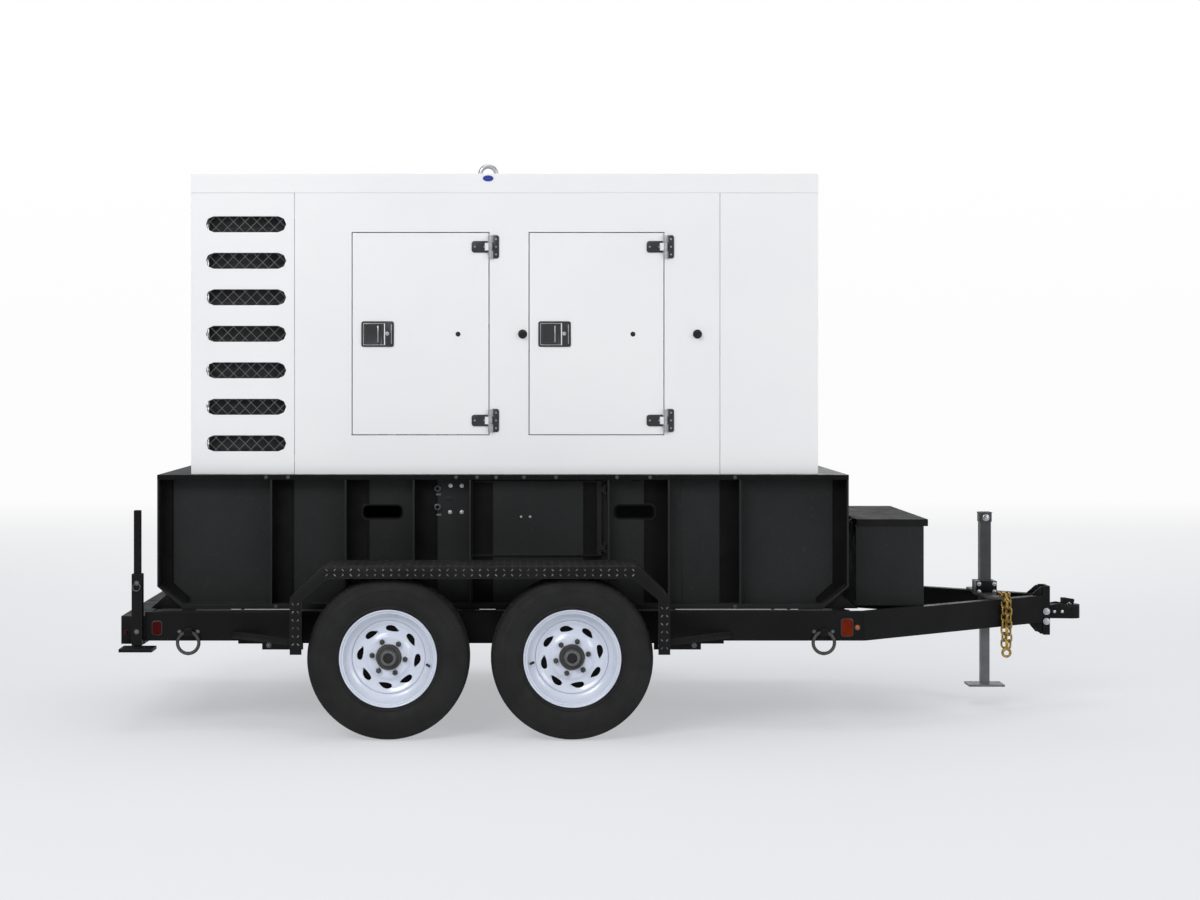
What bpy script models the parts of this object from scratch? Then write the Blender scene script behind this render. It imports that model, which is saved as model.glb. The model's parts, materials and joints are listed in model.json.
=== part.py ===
"""Towable diesel generator: skid base and sound enclosure on a tandem-axle trailer.

Metres, +Z up, +X towards the coupler, -Y is the trailer's right-hand side. The origin is the
bottom centre of the whole machine. Right-hand pieces are modelled; left-hand ones mirror them.
"""

import bpy
import bmesh
from math import cos, sin, tan, pi, atan2
from mathutils import Vector

# ---- clearances ----
gap = 0.0003              # between pieces that touch
running_gap = 0.0004      # round a pin or a spindle
slide_gap = 0.0008        # round a sliding leg
seam = 0.004              # round a door

# ---- lengths along the trailer, which add up to its overall length ----
bumper_depth = 0.103
frame_length = 3.149
tongue_length = 0.950
bracket_depth = 0.032
coupler_length = 0.152

# ---- frame ----
frame_half_width = 0.700
axle_headroom = 0.010     # between the axle tubes and the rails
rail_height = 0.126
rail_flange = 0.050
rail_wall = 0.006
tongue_end_width = 0.055
cross_width = 0.060

# ---- wheels and axles ----
axle_from_rear = 1.184
tyre_gap = 0.087          # between the tyres of the two axles
tyre_radius = 0.347
tyre_width = 0.225
tyre_outer_y = 1.000
tread_wall = 0.016
bead_radius = 0.190
flange_radius = 0.208
rim_width = 0.176
spindle_radius = 0.020
axle_radius = 0.030
round_sides = 20
window_count = 8

# ---- fenders ----
fender_outer_y = 1.020
fender_headroom = 0.0465
fender_lip = 0.050
fender_sheet = 0.003
fender_side_gap = 0.014
fender_hang = 0.017       # below the rail
stay_rise = 0.013
stay_height = 0.026
fender_shoulder = 0.137
fender_drop = 0.130

# ---- skid base ----
base_inset = 0.139
base_length = 3.059
base_half_width = 0.600
base_height = 0.594
rib_depth = 0.080
rib_thickness = 0.008
base_flange = 0.022
base_wall = 0.005
base_chamfer_x = 0.115
base_chamfer_z = 0.100
rib_steps = (0.500, 0.829, 1.130, 1.380, 1.992, 2.259, 2.575)   # from the base's rear end
pocket_steps = (0.907, 2.032)
pocket_length = 0.168
pocket_height = 0.053
pocket_rise = 0.399

# ---- access door in the base ----
access_bay = 3            # the door fills the bay in front of this rib
access_rise = 0.232
access_height = 0.330
access_thickness = 0.018
access_margin = 0.028

# ---- enclosure ----
house_inset = 0.281
house_length = 2.788
house_half_width = 0.550
house_height = 1.337
house_wall = 0.003
roof_skirt = 0.086
rear_section = 0.461
front_section = 0.437
seam_line = 0.0015
slot_count = 7
slot_height = 0.071
slot_pitch = 0.1624
slot_margin = 0.065
back_slot_half = 0.215
slot_from_seam = 0.038
slot_rise = 0.137

# ---- service doors ----
door_steps = (0.253, 1.040)     # rear edges, from the middle panel's rear seam
door_widths = (0.613, 0.604)
door_rise = 0.173
door_head = 0.174         # below the top of the wall
door_depth = 0.028
hinge_margin = 0.066
hinge_stand_off = 0.012
pin_radius = 0.005
leaf_thickness = 0.003
leaf_width = 0.040
strap_width = 0.080
strap_height = 0.048
round_small = 10

# ---- paddle latches ----
latch_from_edge = 0.044
latch_width = 0.143
latch_height = 0.112
latch_rise = 0.450
latch_rim = 0.009
latch_proud = 0.003
paddle_margin = 0.034
paddle_thickness = 0.006
tray_depth = 0.020

# ---- lifting eye ----
eye_from_house_rear = 1.314
eye_height = 0.100
eye_half_width = 0.048
eye_hole = 0.027
eye_thickness = 0.024
eye_plate = 0.150
eye_plate_thickness = 0.010

# ---- toolbox ----
toolbox_half_width = 0.450
toolbox_gap = 0.003
toolbox_length = 0.305
toolbox_height = 0.358
toolbox_wall = 0.0025
lid_height = 0.029
lid_overhang = 0.006

# ---- jack ----
jack_from_nose = 0.264
jack_tube = 0.050
jack_cap = 0.054
jack_leg_side = 0.040
jack_reach = 0.388        # above the rail
jack_tube_drop = 0.110
jack_foot_bottom = 0.084
jack_foot_length = 0.168
jack_foot_width = 0.110
jack_foot_thickness = 0.010
jack_block = 0.094
jack_block_height = 0.066
jack_plate = 0.012
jack_plate_half = 0.036
jack_leg_engaged = 0.220

# ---- stabilizers ----
sleeve_side = 0.045
stab_leg_side = 0.029
sleeve_hang = 0.015       # below the rail
sleeve_height = 0.311
stab_leg_length = 0.612
stab_foot_hang = 0.040
stab_foot_length = 0.144
stab_foot_thickness = 0.014
sleeve_from_rear = 0.054

# ---- tie-down rings ----
ring_steps = (0.295, 3.070)     # from the trailer's rear end
ring_radius = 0.055
ring_wire = 0.0075
ring_sides = 16
lug_width = 0.034
lug_depth = 0.024
lug_wall = 0.005
ring_pivot_rise = 0.040

# ---- safety chain ----
chain_from_nose = 0.215
chain_half = 0.009
chain_hang = 0.152        # below the rail

# ---- coupler ----
bracket_half_width = 0.052
bracket_hang = 0.059      # below the rail
bracket_height = 0.229
bracket_wall = 0.010
bracket_hole = 0.009
bracket_hole_pitch = 0.047
bracket_first_hole = 0.016
coupler_rise = 0.016      # above the bottom of the rail
coupler_height = 0.064
coupler_half_width = 0.040
socket_radius = 0.0302
socket_depth = 0.050
lever_length = 0.058
lever_height = 0.024
lever_half_width = 0.011

# ---- power unit ----
engine_from_house_rear = 1.480
engine_length = 0.620
engine_width = 0.300
engine_height = 0.360
engine_feet = 0.060
head_height = 0.140
alternator_length = 0.500
alternator_radius = 0.200
shaft_rise = 0.330
radiator_gap = 0.130
radiator_depth = 0.080
radiator_width = 0.820
radiator_height = 0.900
fan_radius = 0.270
fan_blades = 6
fan_shaft = 0.022
muffler_radius = 0.110
muffler_length = 0.560
panel_width = 0.420
panel_height = 0.380
panel_depth = 0.120
tank_length = 1.180
tank_height = 0.300

# ---- places that follow from the sizes above ----
overall_length = bumper_depth + frame_length + tongue_length + bracket_depth + coupler_length
rear_end = -overall_length / 2
frame_rear = rear_end + bumper_depth
frame_front = frame_rear + frame_length
nose = frame_front + tongue_length
axle_spacing = 2 * tyre_radius + tyre_gap
rail_bottom = tyre_radius + axle_radius + axle_headroom
rail_top = rail_bottom + rail_height
fender_top = 2 * tyre_radius + fender_headroom
fender_bottom = rail_bottom - fender_hang
jack_top = rail_top + jack_reach
sleeve_bottom = rail_bottom - sleeve_hang
stab_foot_bottom = rail_bottom - stab_foot_hang
stab_top = stab_foot_bottom + stab_leg_length
chain_bottom = rail_bottom - chain_hang
bracket_bottom = rail_bottom - bracket_hang
bracket_top = bracket_bottom + bracket_height
coupler_bottom = rail_bottom + coupler_rise
rear_axle = rear_end + axle_from_rear
front_axle = rear_axle + axle_spacing
wheel_y = -(tyre_outer_y - tyre_width / 2)
base_rear = rear_end + base_inset
base_front = base_rear + base_length
base_bottom = rail_top + gap
base_top = base_bottom + base_height
panel_y = -(base_half_width - rib_depth)
house_rear = rear_end + house_inset
house_front = house_rear + house_length
house_bottom = base_top + gap
wall_top = house_bottom + house_height - roof_skirt
roof_top = house_bottom + house_height
door_height = house_height - roof_skirt - door_rise - door_head
rear_seam = house_rear + rear_section
front_seam = house_front - front_section
wall_y = -house_half_width
hinge_y = wall_y - hinge_stand_off
deck_height = base_top + gap


# ---------------------------------------------------------------- helpers
def clear_scene():
    for old in list(bpy.data.objects):
        bpy.data.objects.remove(old, do_unlink=True)


def paint(name, colour, roughness, metallic=0.0):
    made = bpy.data.materials.new(name)
    made.use_nodes = True
    shader = made.node_tree.nodes["Principled BSDF"]
    shader.inputs["Base Color"].default_value = (*colour, 1)
    shader.inputs["Roughness"].default_value = roughness
    shader.inputs["Metallic"].default_value = metallic
    return made


def from_bmesh(bm):
    bmesh.ops.recalc_face_normals(bm, faces=bm.faces)
    mesh = bpy.data.meshes.new("shape")
    bm.to_mesh(mesh)
    bm.free()
    shape = bpy.data.objects.new("shape", mesh)
    bpy.context.scene.collection.objects.link(shape)
    return shape


def prism(outline, axis, start, end):
    """A closed outline extruded along an axis. Outlines read (y, z), (x, z) or (x, y)."""
    def point(a, b, along):
        return {"X": (along, a, b), "Y": (a, along, b), "Z": (a, b, along)}[axis]

    bm = bmesh.new()
    face = bm.faces.new([bm.verts.new(point(a, b, start)) for a, b in outline])
    moved = bmesh.ops.extrude_face_region(bm, geom=[face])["geom"]
    shift = Vector(point(0, 0, end - start))
    bmesh.ops.translate(bm, vec=shift, verts=[v for v in moved if isinstance(v, bmesh.types.BMVert)])
    return from_bmesh(bm)


def box(low, high):
    (x0, y0, z0), (x1, y1, z1) = low, high
    return prism([(x0, y0), (x1, y0), (x1, y1), (x0, y1)], "Z", z0, z1)


def circle(centre, radius, sides, turn=0.5):
    """Points of a regular polygon; turn is its first corner's place, in sides."""
    steps = [2 * pi * (i + turn) / sides for i in range(sides)]
    return [(centre[0] + radius * cos(t), centre[1] + radius * sin(t)) for t in steps]


def rod(axis, centre, radius, start, end, sides=round_small):
    return prism(circle(centre, radius, sides), axis, start, end)


def turned(profile, centre, sides):
    """A closed profile of (radius, y) points turned about a Y axis, a flat side down."""
    bm = bmesh.new()
    rings = []
    for radius, along in profile:
        if radius == 0:
            rings.append([bm.verts.new((centre[0], centre[1] + along, centre[2]))])
            continue
        corners = circle((centre[0], centre[2]), radius / cos(pi / sides), sides)
        rings.append([bm.verts.new((x, centre[1] + along, z)) for x, z in corners])
    for ring, after in zip(rings, rings[1:] + rings[:1]):
        for i in range(sides):
            j = (i + 1) % sides
            quad = [ring[i % len(ring)], ring[j % len(ring)], after[j % len(after)], after[i % len(after)]]
            corners = list(dict.fromkeys(quad))
            if len(corners) > 2:
                bm.faces.new(corners)
    return from_bmesh(bm)


def torus(centre, radius, wire, sides, wire_sides, axis="X"):
    """A closed ring of round wire about an X or a Y axis."""
    bm = bmesh.new()
    rings = []
    for i in range(sides):
        turn = 2 * pi * i / sides
        ring = []
        for across, along in circle((0, 0), wire, wire_sides):
            reach = radius + across
            flat = (reach * cos(turn), reach * sin(turn))
            at = (along, *flat) if axis == "X" else (flat[0], along, flat[1])
            ring.append(bm.verts.new(Vector(centre) + Vector(at)))
        rings.append(ring)
    for ring, after in zip(rings, rings[1:] + rings[:1]):
        for i in range(wire_sides):
            j = (i + 1) % wire_sides
            bm.faces.new([ring[i], ring[j], after[j], after[i]])
    return from_bmesh(bm)


def combine(operation, first, others, solver="EXACT"):
    for other in others:
        step = first.modifiers.new(operation, "BOOLEAN")
        step.operation = operation
        step.solver = solver
        step.object = other
    bpy.context.view_layer.update()
    graph = bpy.context.evaluated_depsgraph_get()
    mesh = bpy.data.meshes.new_from_object(first.evaluated_get(graph))
    first.modifiers.clear()
    first.data = mesh
    for other in others:
        bpy.data.objects.remove(other, do_unlink=True)
    return first


def fuse(first, *others, solver="EXACT"):
    return combine("UNION", first, others, solver)


def cut(first, *cutters, solver="EXACT"):
    return combine("DIFFERENCE", first, cutters, solver)


def piece(name, shape, coat, pivot=(0, 0, 0)):
    """Names a shape, gives it its material and puts its origin on its joint's axis."""
    shape.name = name
    shape.data.name = name
    shape.data.materials.clear()
    shape.data.materials.append(coat)
    for vertex in shape.data.vertices:
        vertex.co -= Vector(pivot)
    shape.location = pivot
    return shape


def mirrored(shape, name):
    """The same piece on the trailer's left-hand side."""
    bm = bmesh.new()
    bm.from_mesh(shape.data)
    bmesh.ops.scale(bm, vec=(1, -1, 1), verts=bm.verts)
    bmesh.ops.reverse_faces(bm, faces=bm.faces)
    mesh = bpy.data.meshes.new(name)
    bm.to_mesh(mesh)
    bm.free()
    other = bpy.data.objects.new(name, mesh)
    bpy.context.scene.collection.objects.link(other)
    place = shape.location
    other.location = (place.x, -place.y, place.z)
    return other


def both_sides(name, shape, coat, pivot=(0, 0, 0)):
    right = piece(name + "_right", shape, coat, pivot)
    return right, mirrored(right, name + "_left")


def channel(low, high, wall, open_to):
    """A C section along X; open_to is +1 when its mouth faces +Y."""
    (x0, y0, z0), (x1, y1, z1) = low, high
    web, mouth = (y0, y1) if open_to > 0 else (y1, y0)
    inner = web + wall * open_to
    outline = [(web, z0), (mouth, z0), (mouth, z0 + wall), (inner, z0 + wall),
               (inner, z1 - wall), (mouth, z1 - wall), (mouth, z1), (web, z1)]
    return prism(outline, "X", x0, x1)


# ---------------------------------------------------------------- trailer frame
def build_frame(black):
    rail = channel((frame_rear + gap, -frame_half_width, rail_bottom),
                   (frame_front, -frame_half_width + rail_flange, rail_top), rail_wall, 1)
    both_sides("side_rail", rail, black)

    inner = frame_half_width - rail_flange - gap
    rear_cross = base_rear + base_chamfer_x
    bumper = box((rear_end, -frame_half_width, rail_bottom - 0.014),
                 (frame_rear, frame_half_width, rail_top - 0.018))
    hollow = box((rear_end + rail_wall, -frame_half_width - 0.01, rail_bottom - 0.014 + rail_wall),
                 (frame_rear - rail_wall, frame_half_width + 0.01, rail_top - 0.018 - rail_wall))
    bumper = cut(bumper, hollow)
    stubs = [box((frame_rear - 0.004, side * 0.30 - 0.025, rail_bottom + 0.01),
                 (rear_cross + 0.01, side * 0.30 + 0.025, rail_top - 0.03)) for side in (-1, 1)]
    cross = box((rear_cross, -inner, rail_bottom), (rear_cross + cross_width, inner, rail_top))
    piece("rear_bumper", fuse(bumper, *stubs, cross), black)

    # channels across the frame, their mouths facing the rear
    for name, at in (("centre_crossmember", rear_axle + 0.30), ("front_crossmember", base_front - 0.075)):
        outline = [(at, rail_bottom), (at + cross_width, rail_bottom), (at + cross_width, rail_top),
                   (at, rail_top), (at, rail_top - rail_wall), (at + cross_width - rail_wall,
                                                                rail_top - rail_wall),
                   (at + cross_width - rail_wall, rail_bottom + rail_wall), (at, rail_bottom + rail_wall)]
        piece(name, prism(outline, "Y", -inner, inner), black)

    plan = [(frame_front + gap, -frame_half_width), (frame_front + gap,
                                                     -frame_half_width + tongue_end_width),
            (nose - gap, -gap), (nose - gap, -tongue_end_width)]
    run = Vector((nose - frame_front, frame_half_width - tongue_end_width)).normalized()
    aside = Vector((-run.y, run.x))
    start = Vector(plan[0]) + aside * rail_wall - run * 0.2
    end = Vector(plan[3]) + aside * rail_wall + run * 0.2
    mouth = [start, end, end + aside * 0.2, start + aside * 0.2]
    tongue = cut(prism(plan, "Z", rail_bottom, rail_top),
                 prism([tuple(p) for p in mouth], "Z", rail_bottom + rail_wall, rail_top - rail_wall))
    both_sides("tongue_rail", tongue, black)


def build_coupler(black, zinc):
    front = nose + bracket_depth
    low, high = bracket_bottom, bracket_top
    plan = [(nose, -bracket_half_width), (front, -bracket_half_width), (front, bracket_half_width),
            (nose, bracket_half_width), (nose, bracket_half_width - bracket_wall),
            (front - bracket_wall, bracket_half_width - bracket_wall),
            (front - bracket_wall, -bracket_half_width + bracket_wall),
            (nose, -bracket_half_width + bracket_wall)]
    holes = [rod("X", (0, low + bracket_first_hole + i * bracket_hole_pitch), bracket_hole,
                 nose - 0.02, front + 0.02, 8) for i in range(5)]
    piece("coupler_bracket", cut(prism(plan, "Z", low, high), *holes), black)

    back = front + gap
    ball_x = rear_end + overall_length - coupler_half_width
    around = [pi * (i / 8 - 0.5) for i in range(9)]
    outline = [(ball_x + coupler_half_width * cos(t), coupler_half_width * sin(t)) for t in around]
    outline += [(back + 0.012, 0.030), (back, 0.030), (back, -0.030), (back + 0.012, -0.030)]
    top = coupler_bottom + coupler_height
    socket = rod("Z", (ball_x, 0), socket_radius, coupler_bottom - 0.01, coupler_bottom + socket_depth, 16)
    ears = [box((ball_x - 0.045, side * (lever_half_width + gap), top - 0.004),
                (ball_x - 0.020, side * (lever_half_width + gap + 0.006), top + 0.030)) for side in (-1, 1)]
    pin = rod("Y", (ball_x - 0.032, top + 0.018), 0.004, -lever_half_width - 0.003,
              lever_half_width + 0.003, 8)
    # EXACT leaves open edges where the pin meets the ears
    coupler = fuse(prism(outline, "Z", coupler_bottom, top), *ears, pin, solver="MANIFOLD")
    piece("coupler", cut(coupler, socket, solver="MANIFOLD"), zinc)

    # the lever's tail rests on the coupler, and its bore turns on the pin
    lever = prism([(ball_x - 0.044, top + 0.007), (ball_x - 0.032, top + gap), (ball_x + 0.010, top + gap),
                   (ball_x - 0.044 + lever_length, top + 0.016), (ball_x - 0.044 + lever_length,
                                                                  top + lever_height),
                   (ball_x - 0.028, top + 0.030), (ball_x - 0.042, top + 0.026)],
                  "Y", -lever_half_width, lever_half_width)
    bore = rod("Y", (ball_x - 0.032, top + 0.018), (0.004 + running_gap) / cos(pi / 8), -0.05, 0.05, 8)
    piece("coupler_latch", cut(lever, bore), zinc, (ball_x - 0.032, 0, top + 0.018))


def build_chain(gold):
    """A hanging chain, as the one solid of its outer shape: over the rail and down its outer side."""
    at = nose - chain_from_nose
    slope = (frame_half_width - tongue_end_width) / tongue_length
    outer = -frame_half_width + slope * (at - frame_front)
    wire = chain_half
    half = chain_half
    room = slope * half + wire + 0.0005
    y_out, y_in = outer - room, outer + tongue_end_width + room
    over = rail_top + wire + gap
    outline = [(y_in - wire, over - 0.055), (y_in + wire, over - 0.055), (y_in + wire, over + wire * 0.4),
               (y_in - 0.004, over + wire), (y_out + 0.004, over + wire), (y_out - wire, over + wire * 0.4),
               (y_out - wire, chain_bottom), (y_out + wire, chain_bottom), (y_out + wire, over - wire),
               (y_in - wire, over - wire)]
    shape = prism(outline, "X", at - half, at + half)
    piece("safety_chain", shape, gold)


# ---------------------------------------------------------------- running gear
def build_running_gear(black, rubber, white):
    saddle_top = tyre_radius - axle_radius - gap
    y0, y1 = -frame_half_width + 0.006, -frame_half_width + 0.050
    hang_top = rail_bottom - gap

    # torsion axles: each tube lies in a saddle that hangs from a thin sub rail
    sub_rail = box((rear_axle - 0.56, y0 + 0.004, hang_top - 0.012), (front_axle + 0.56, y1 - 0.004,
                                                                      hang_top))
    saddles, tunnels = [], []
    for x in (rear_axle, front_axle):
        outer = axle_radius + gap
        saddles.append(prism([(x - outer - 0.055, hang_top), (x + outer + 0.055, hang_top),
                              (x + outer + 0.022, saddle_top - 0.026),
                              (x - outer - 0.022, saddle_top - 0.026)], "Y", y0, y1))
        tunnels.append(box((x - outer, y0 - 0.1, saddle_top), (x + outer, y1 + 0.1, hang_top + 0.1)))
    both_sides("suspension", cut(fuse(sub_rail, *saddles), *tunnels), black)

    spindle_end = tyre_outer_y - 0.075
    for name, x in (("axle_rear", rear_axle), ("axle_front", front_axle)):
        centre = (x, tyre_radius)
        tube = rod("Y", centre, axle_radius / cos(pi / 12), -frame_half_width, frame_half_width, 12)
        spindle = rod("Y", centre, spindle_radius, -spindle_end, spindle_end, 12)
        piece(name, fuse(tube, spindle), black)

    half_tyre = tyre_width / 2
    half_rim = rim_width / 2
    bead = bead_radius + gap
    section = [(bead, half_rim - 0.012), (bead, half_rim - 0.032), (bead + 0.070, half_tyre - 0.014),
               (tyre_radius - tread_wall, half_tyre - 0.045)]
    outside = [(tyre_radius, half_tyre - 0.035), (tyre_radius - 0.022, half_tyre - 0.006),
               (bead + 0.070, half_tyre), (flange_radius + 0.004, half_rim - 0.004)]
    profile = section + [(r, -y) for r, y in reversed(section)]
    profile += [(r, -y) for r, y in reversed(outside)] + outside
    bore = spindle_radius + running_gap
    rim = [(0, 0.078), (0.026, 0.078), (0.034, 0.066), (0.0535, 0.046), (0.0535, 0.012), (0.088, 0.012),
           (0.106, 0.034), (0.156, 0.034), (bead_radius - 0.022, 0.022), (bead_radius - 0.006,
                                                                          half_rim - 0.012),
           (flange_radius, half_rim), (flange_radius, half_rim - 0.005), (bead_radius, half_rim - 0.010),
           (bead_radius - 0.012, 0.040), (bead_radius - 0.012, -0.040), (bead_radius, 0.010 - half_rim),
           (flange_radius, 0.005 - half_rim), (flange_radius, -half_rim), (bead_radius - 0.018,
                                                                           0.022 - half_rim),
           (bead_radius - 0.018, 0.008), (0.100, 0.022), (0.060, 0.000), (0.060, -0.070), (bore, -0.070),
           (bore, 0.064), (0, 0.064)]
    for place, x in (("rear", rear_axle), ("front", front_axle)):
        centre = (x, wheel_y, tyre_radius)
        flipped = [(r, -y) for r, y in reversed(profile)]
        both_sides(f"tyre_{place}", turned(flipped, centre, round_sides), rubber, centre)
        wheel = turned([(r, -y) for r, y in reversed(rim)], centre, round_sides)
        windows = []
        for i in range(window_count):
            turn = 2 * pi * (i + 0.5) / window_count
            out, around = Vector((cos(turn), sin(turn))), Vector((-sin(turn), cos(turn)))
            mid = Vector((x, tyre_radius)) + out * 0.126
            corners = [mid - around * 0.028 - out * 0.013, mid + around * 0.028 - out * 0.007,
                       mid + around * 0.017 + out * 0.013, mid - around * 0.021 + out * 0.013]
            windows.append(prism([tuple(c) for c in corners], "Y", wheel_y - 0.060, wheel_y + 0.004))
        both_sides(f"wheel_{place}", cut(wheel, *windows), white, centre)


def build_fenders(tread):
    left = rear_axle - tyre_radius - fender_side_gap - fender_lip
    right = front_axle + tyre_radius + fender_side_gap + fender_lip
    shoulder_z = fender_top - fender_drop

    def arch(inset):
        slope = inset * tan(atan2(fender_drop, fender_shoulder) / 2)
        return [(left + inset, fender_bottom), (left + inset, shoulder_z - slope * 0.5),
                (left + fender_shoulder + slope, fender_top - inset),
                (right - fender_shoulder - slope, fender_top - inset),
                (right - inset, shoulder_z - slope * 0.5), (right - inset, fender_bottom)]

    sheet = prism(arch(0) + arch(fender_sheet)[::-1], "Y", -fender_outer_y, -frame_half_width - gap)
    lip = prism(arch(0) + arch(fender_lip)[::-1], "Y", -fender_outer_y, -fender_outer_y + fender_sheet)
    stays = []
    for x, way in ((left, -1), (right, 1)):
        plan = [(x + way * 0.29, -frame_half_width - gap), (x + way * 0.29, -frame_half_width - 0.012),
                (x + way * 0.02, -fender_outer_y + 0.08), (x - way * 0.002, -fender_outer_y + 0.08),
                (x - way * 0.002, -fender_outer_y + 0.10), (x + way * 0.01, -fender_outer_y + 0.10),
                (x + way * 0.25, -frame_half_width - gap)]
        stays.append(prism(plan, "Z", rail_bottom + stay_rise, rail_bottom + stay_rise + stay_height))
    both_sides("fender", fuse(sheet, lip, *stays), tread)


# ---------------------------------------------------------------- skid base
def build_base(black):
    x0, x1, z0, z1 = base_rear, base_front, base_bottom, base_top
    cx, cz = base_chamfer_x, base_chamfer_z
    outline = [(x0, z1), (x0, z0 + cz), (x0 + cx, z0), (x1 - cx, z0), (x1, z0 + cz), (x1, z1)]
    shell = prism(outline, "Y", -base_half_width, base_half_width)
    ribs = [x0 + step for step in rib_steps]
    edges = [x0] + ribs + [x1]
    t = rib_thickness
    low, high = z0 + base_flange, z1 - base_flange
    bays = []
    for number, (a, b) in enumerate(zip(edges, edges[1:])):
        corners = [(a + t, high), (a + t, low), (b, low), (b, high)]
        if number == 0:
            corners[1:2] = [(a + t, z0 + cz), (a + cx, low)]
        if number == len(edges) - 2:
            corners[2:4] = [(b - cx, low), (b - t, z0 + cz), (b - t, high)]
        for side in (-1, 1):
            bays.append(prism(corners, "Y", side * base_half_width * 1.1, -side * panel_y))
    w = base_wall
    inside = [(x0 + w, z1 - w), (x0 + w, z0 + cz + 0.002), (x0 + cx + 0.002, z0 + w),
              (x0 + cx + 0.002, z0 - 0.02), (x1 - cx - 0.002, z0 - 0.02), (x1 - cx - 0.002, z0 + w),
              (x1 - w, z0 + cz + 0.002), (x1 - w, z1 - w)]
    hollow = prism(inside, "Y", panel_y + w, -panel_y - w)
    pockets = [box((x0 + step, side * 0.5 - 0.05, z0 + pocket_rise),
                   (x0 + step + pocket_length, side * 0.5 + 0.05, z0 + pocket_rise + pocket_height))
               for step in pocket_steps for side in (-1, 1)]
    left, right = edges[access_bay + 1] + t, edges[access_bay + 2]
    sill, head = z0 + access_rise, z0 + access_rise + access_height
    margin = access_margin
    opening = box((left + margin, panel_y - 0.02, sill + margin), (right - margin, panel_y + 0.02,
                                                                   head - margin))
    shell = cut(shell, *bays, hollow, *pockets, opening)

    # hinge pin on the rib beside the door, held in two lugs
    pin_x, pin_y = right - 0.010, panel_y - access_thickness - 0.009
    lugs = []
    for z in (sill + 0.035, head - 0.035):
        for side in (-1, 1):
            spot = z + side * 0.017
            lugs.append(box((pin_x - 0.006, pin_y - 0.006, spot - 0.006), (right + 0.004, pin_y + 0.006,
                                                                           spot + 0.006)))
        lugs.append(rod("Z", (pin_x, pin_y), 0.004, z - 0.020, z + 0.020, 8))
    piece("skid_base", fuse(shell, *lugs), black)

    door = box((left + 0.003, panel_y - access_thickness, sill), (right - 0.024, panel_y - gap, head))
    pan = box((left + 0.020, panel_y - access_thickness + 0.003, sill + 0.015),
              (right - 0.040, panel_y + 0.01, head - 0.015))
    door = cut(door, pan)
    bore = (0.004 + running_gap) / cos(pi / 8)
    knuckles, bores = [], []
    for z in (sill + 0.035, head - 0.035):
        knuckles.append(prism([(right - 0.036, panel_y - access_thickness + 0.003),
                               (right - 0.036, panel_y - access_thickness - 0.002), (pin_x - 0.004,
                                                                                     pin_y - 0.0075),
                               (pin_x + 0.005, pin_y - 0.0065), (pin_x + 0.0072, pin_y),
                               (pin_x + 0.004, pin_y + 0.0072), (pin_x - 0.006, pin_y + 0.0072)],
                              "Z", z - 0.0105, z + 0.0105))
        bores.append(rod("Z", (pin_x, pin_y), bore, z - 0.05, z + 0.05, 8))
    door = cut(fuse(door, *knuckles), *bores)
    piece("access_door", door, black, (pin_x, pin_y, sill))

    tank_rear = base_rear + base_chamfer_x + 0.012
    tank = box((tank_rear, panel_y + 0.045, base_bottom), (tank_rear + tank_length, -panel_y - 0.045,
                                                          base_bottom + tank_height))
    neck = rod("Z", (tank_rear + tank_length * 0.8, 0.30), 0.035, base_bottom + tank_height - 0.01,
               base_top - base_wall - gap, 10)
    hole = box((tank_rear + 0.004, panel_y + 0.049, base_bottom + 0.004),
               (tank_rear + tank_length - 0.004, -panel_y - 0.049, base_bottom + tank_height - 0.004))
    filler = rod("Z", (tank_rear + tank_length * 0.8, 0.30), 0.030, base_bottom + tank_height - 0.02,
                 base_top + 0.02, 10)
    piece("fuel_tank", cut(fuse(tank, neck), hole, filler), black)


# ---------------------------------------------------------------- enclosure
def stadium(x0, x1, z, height):
    r = height / 2
    ends = [(x1 - r, -0.5), (x0 + r, 0.5)]
    return [(x + r * cos(pi * (turn + i / 4)), z + r * sin(pi * (turn + i / 4)))
            for x, turn in ends for i in range(5)]


def slot_levels():
    return [house_bottom + slot_rise + i * slot_pitch for i in range(slot_count)]


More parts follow.
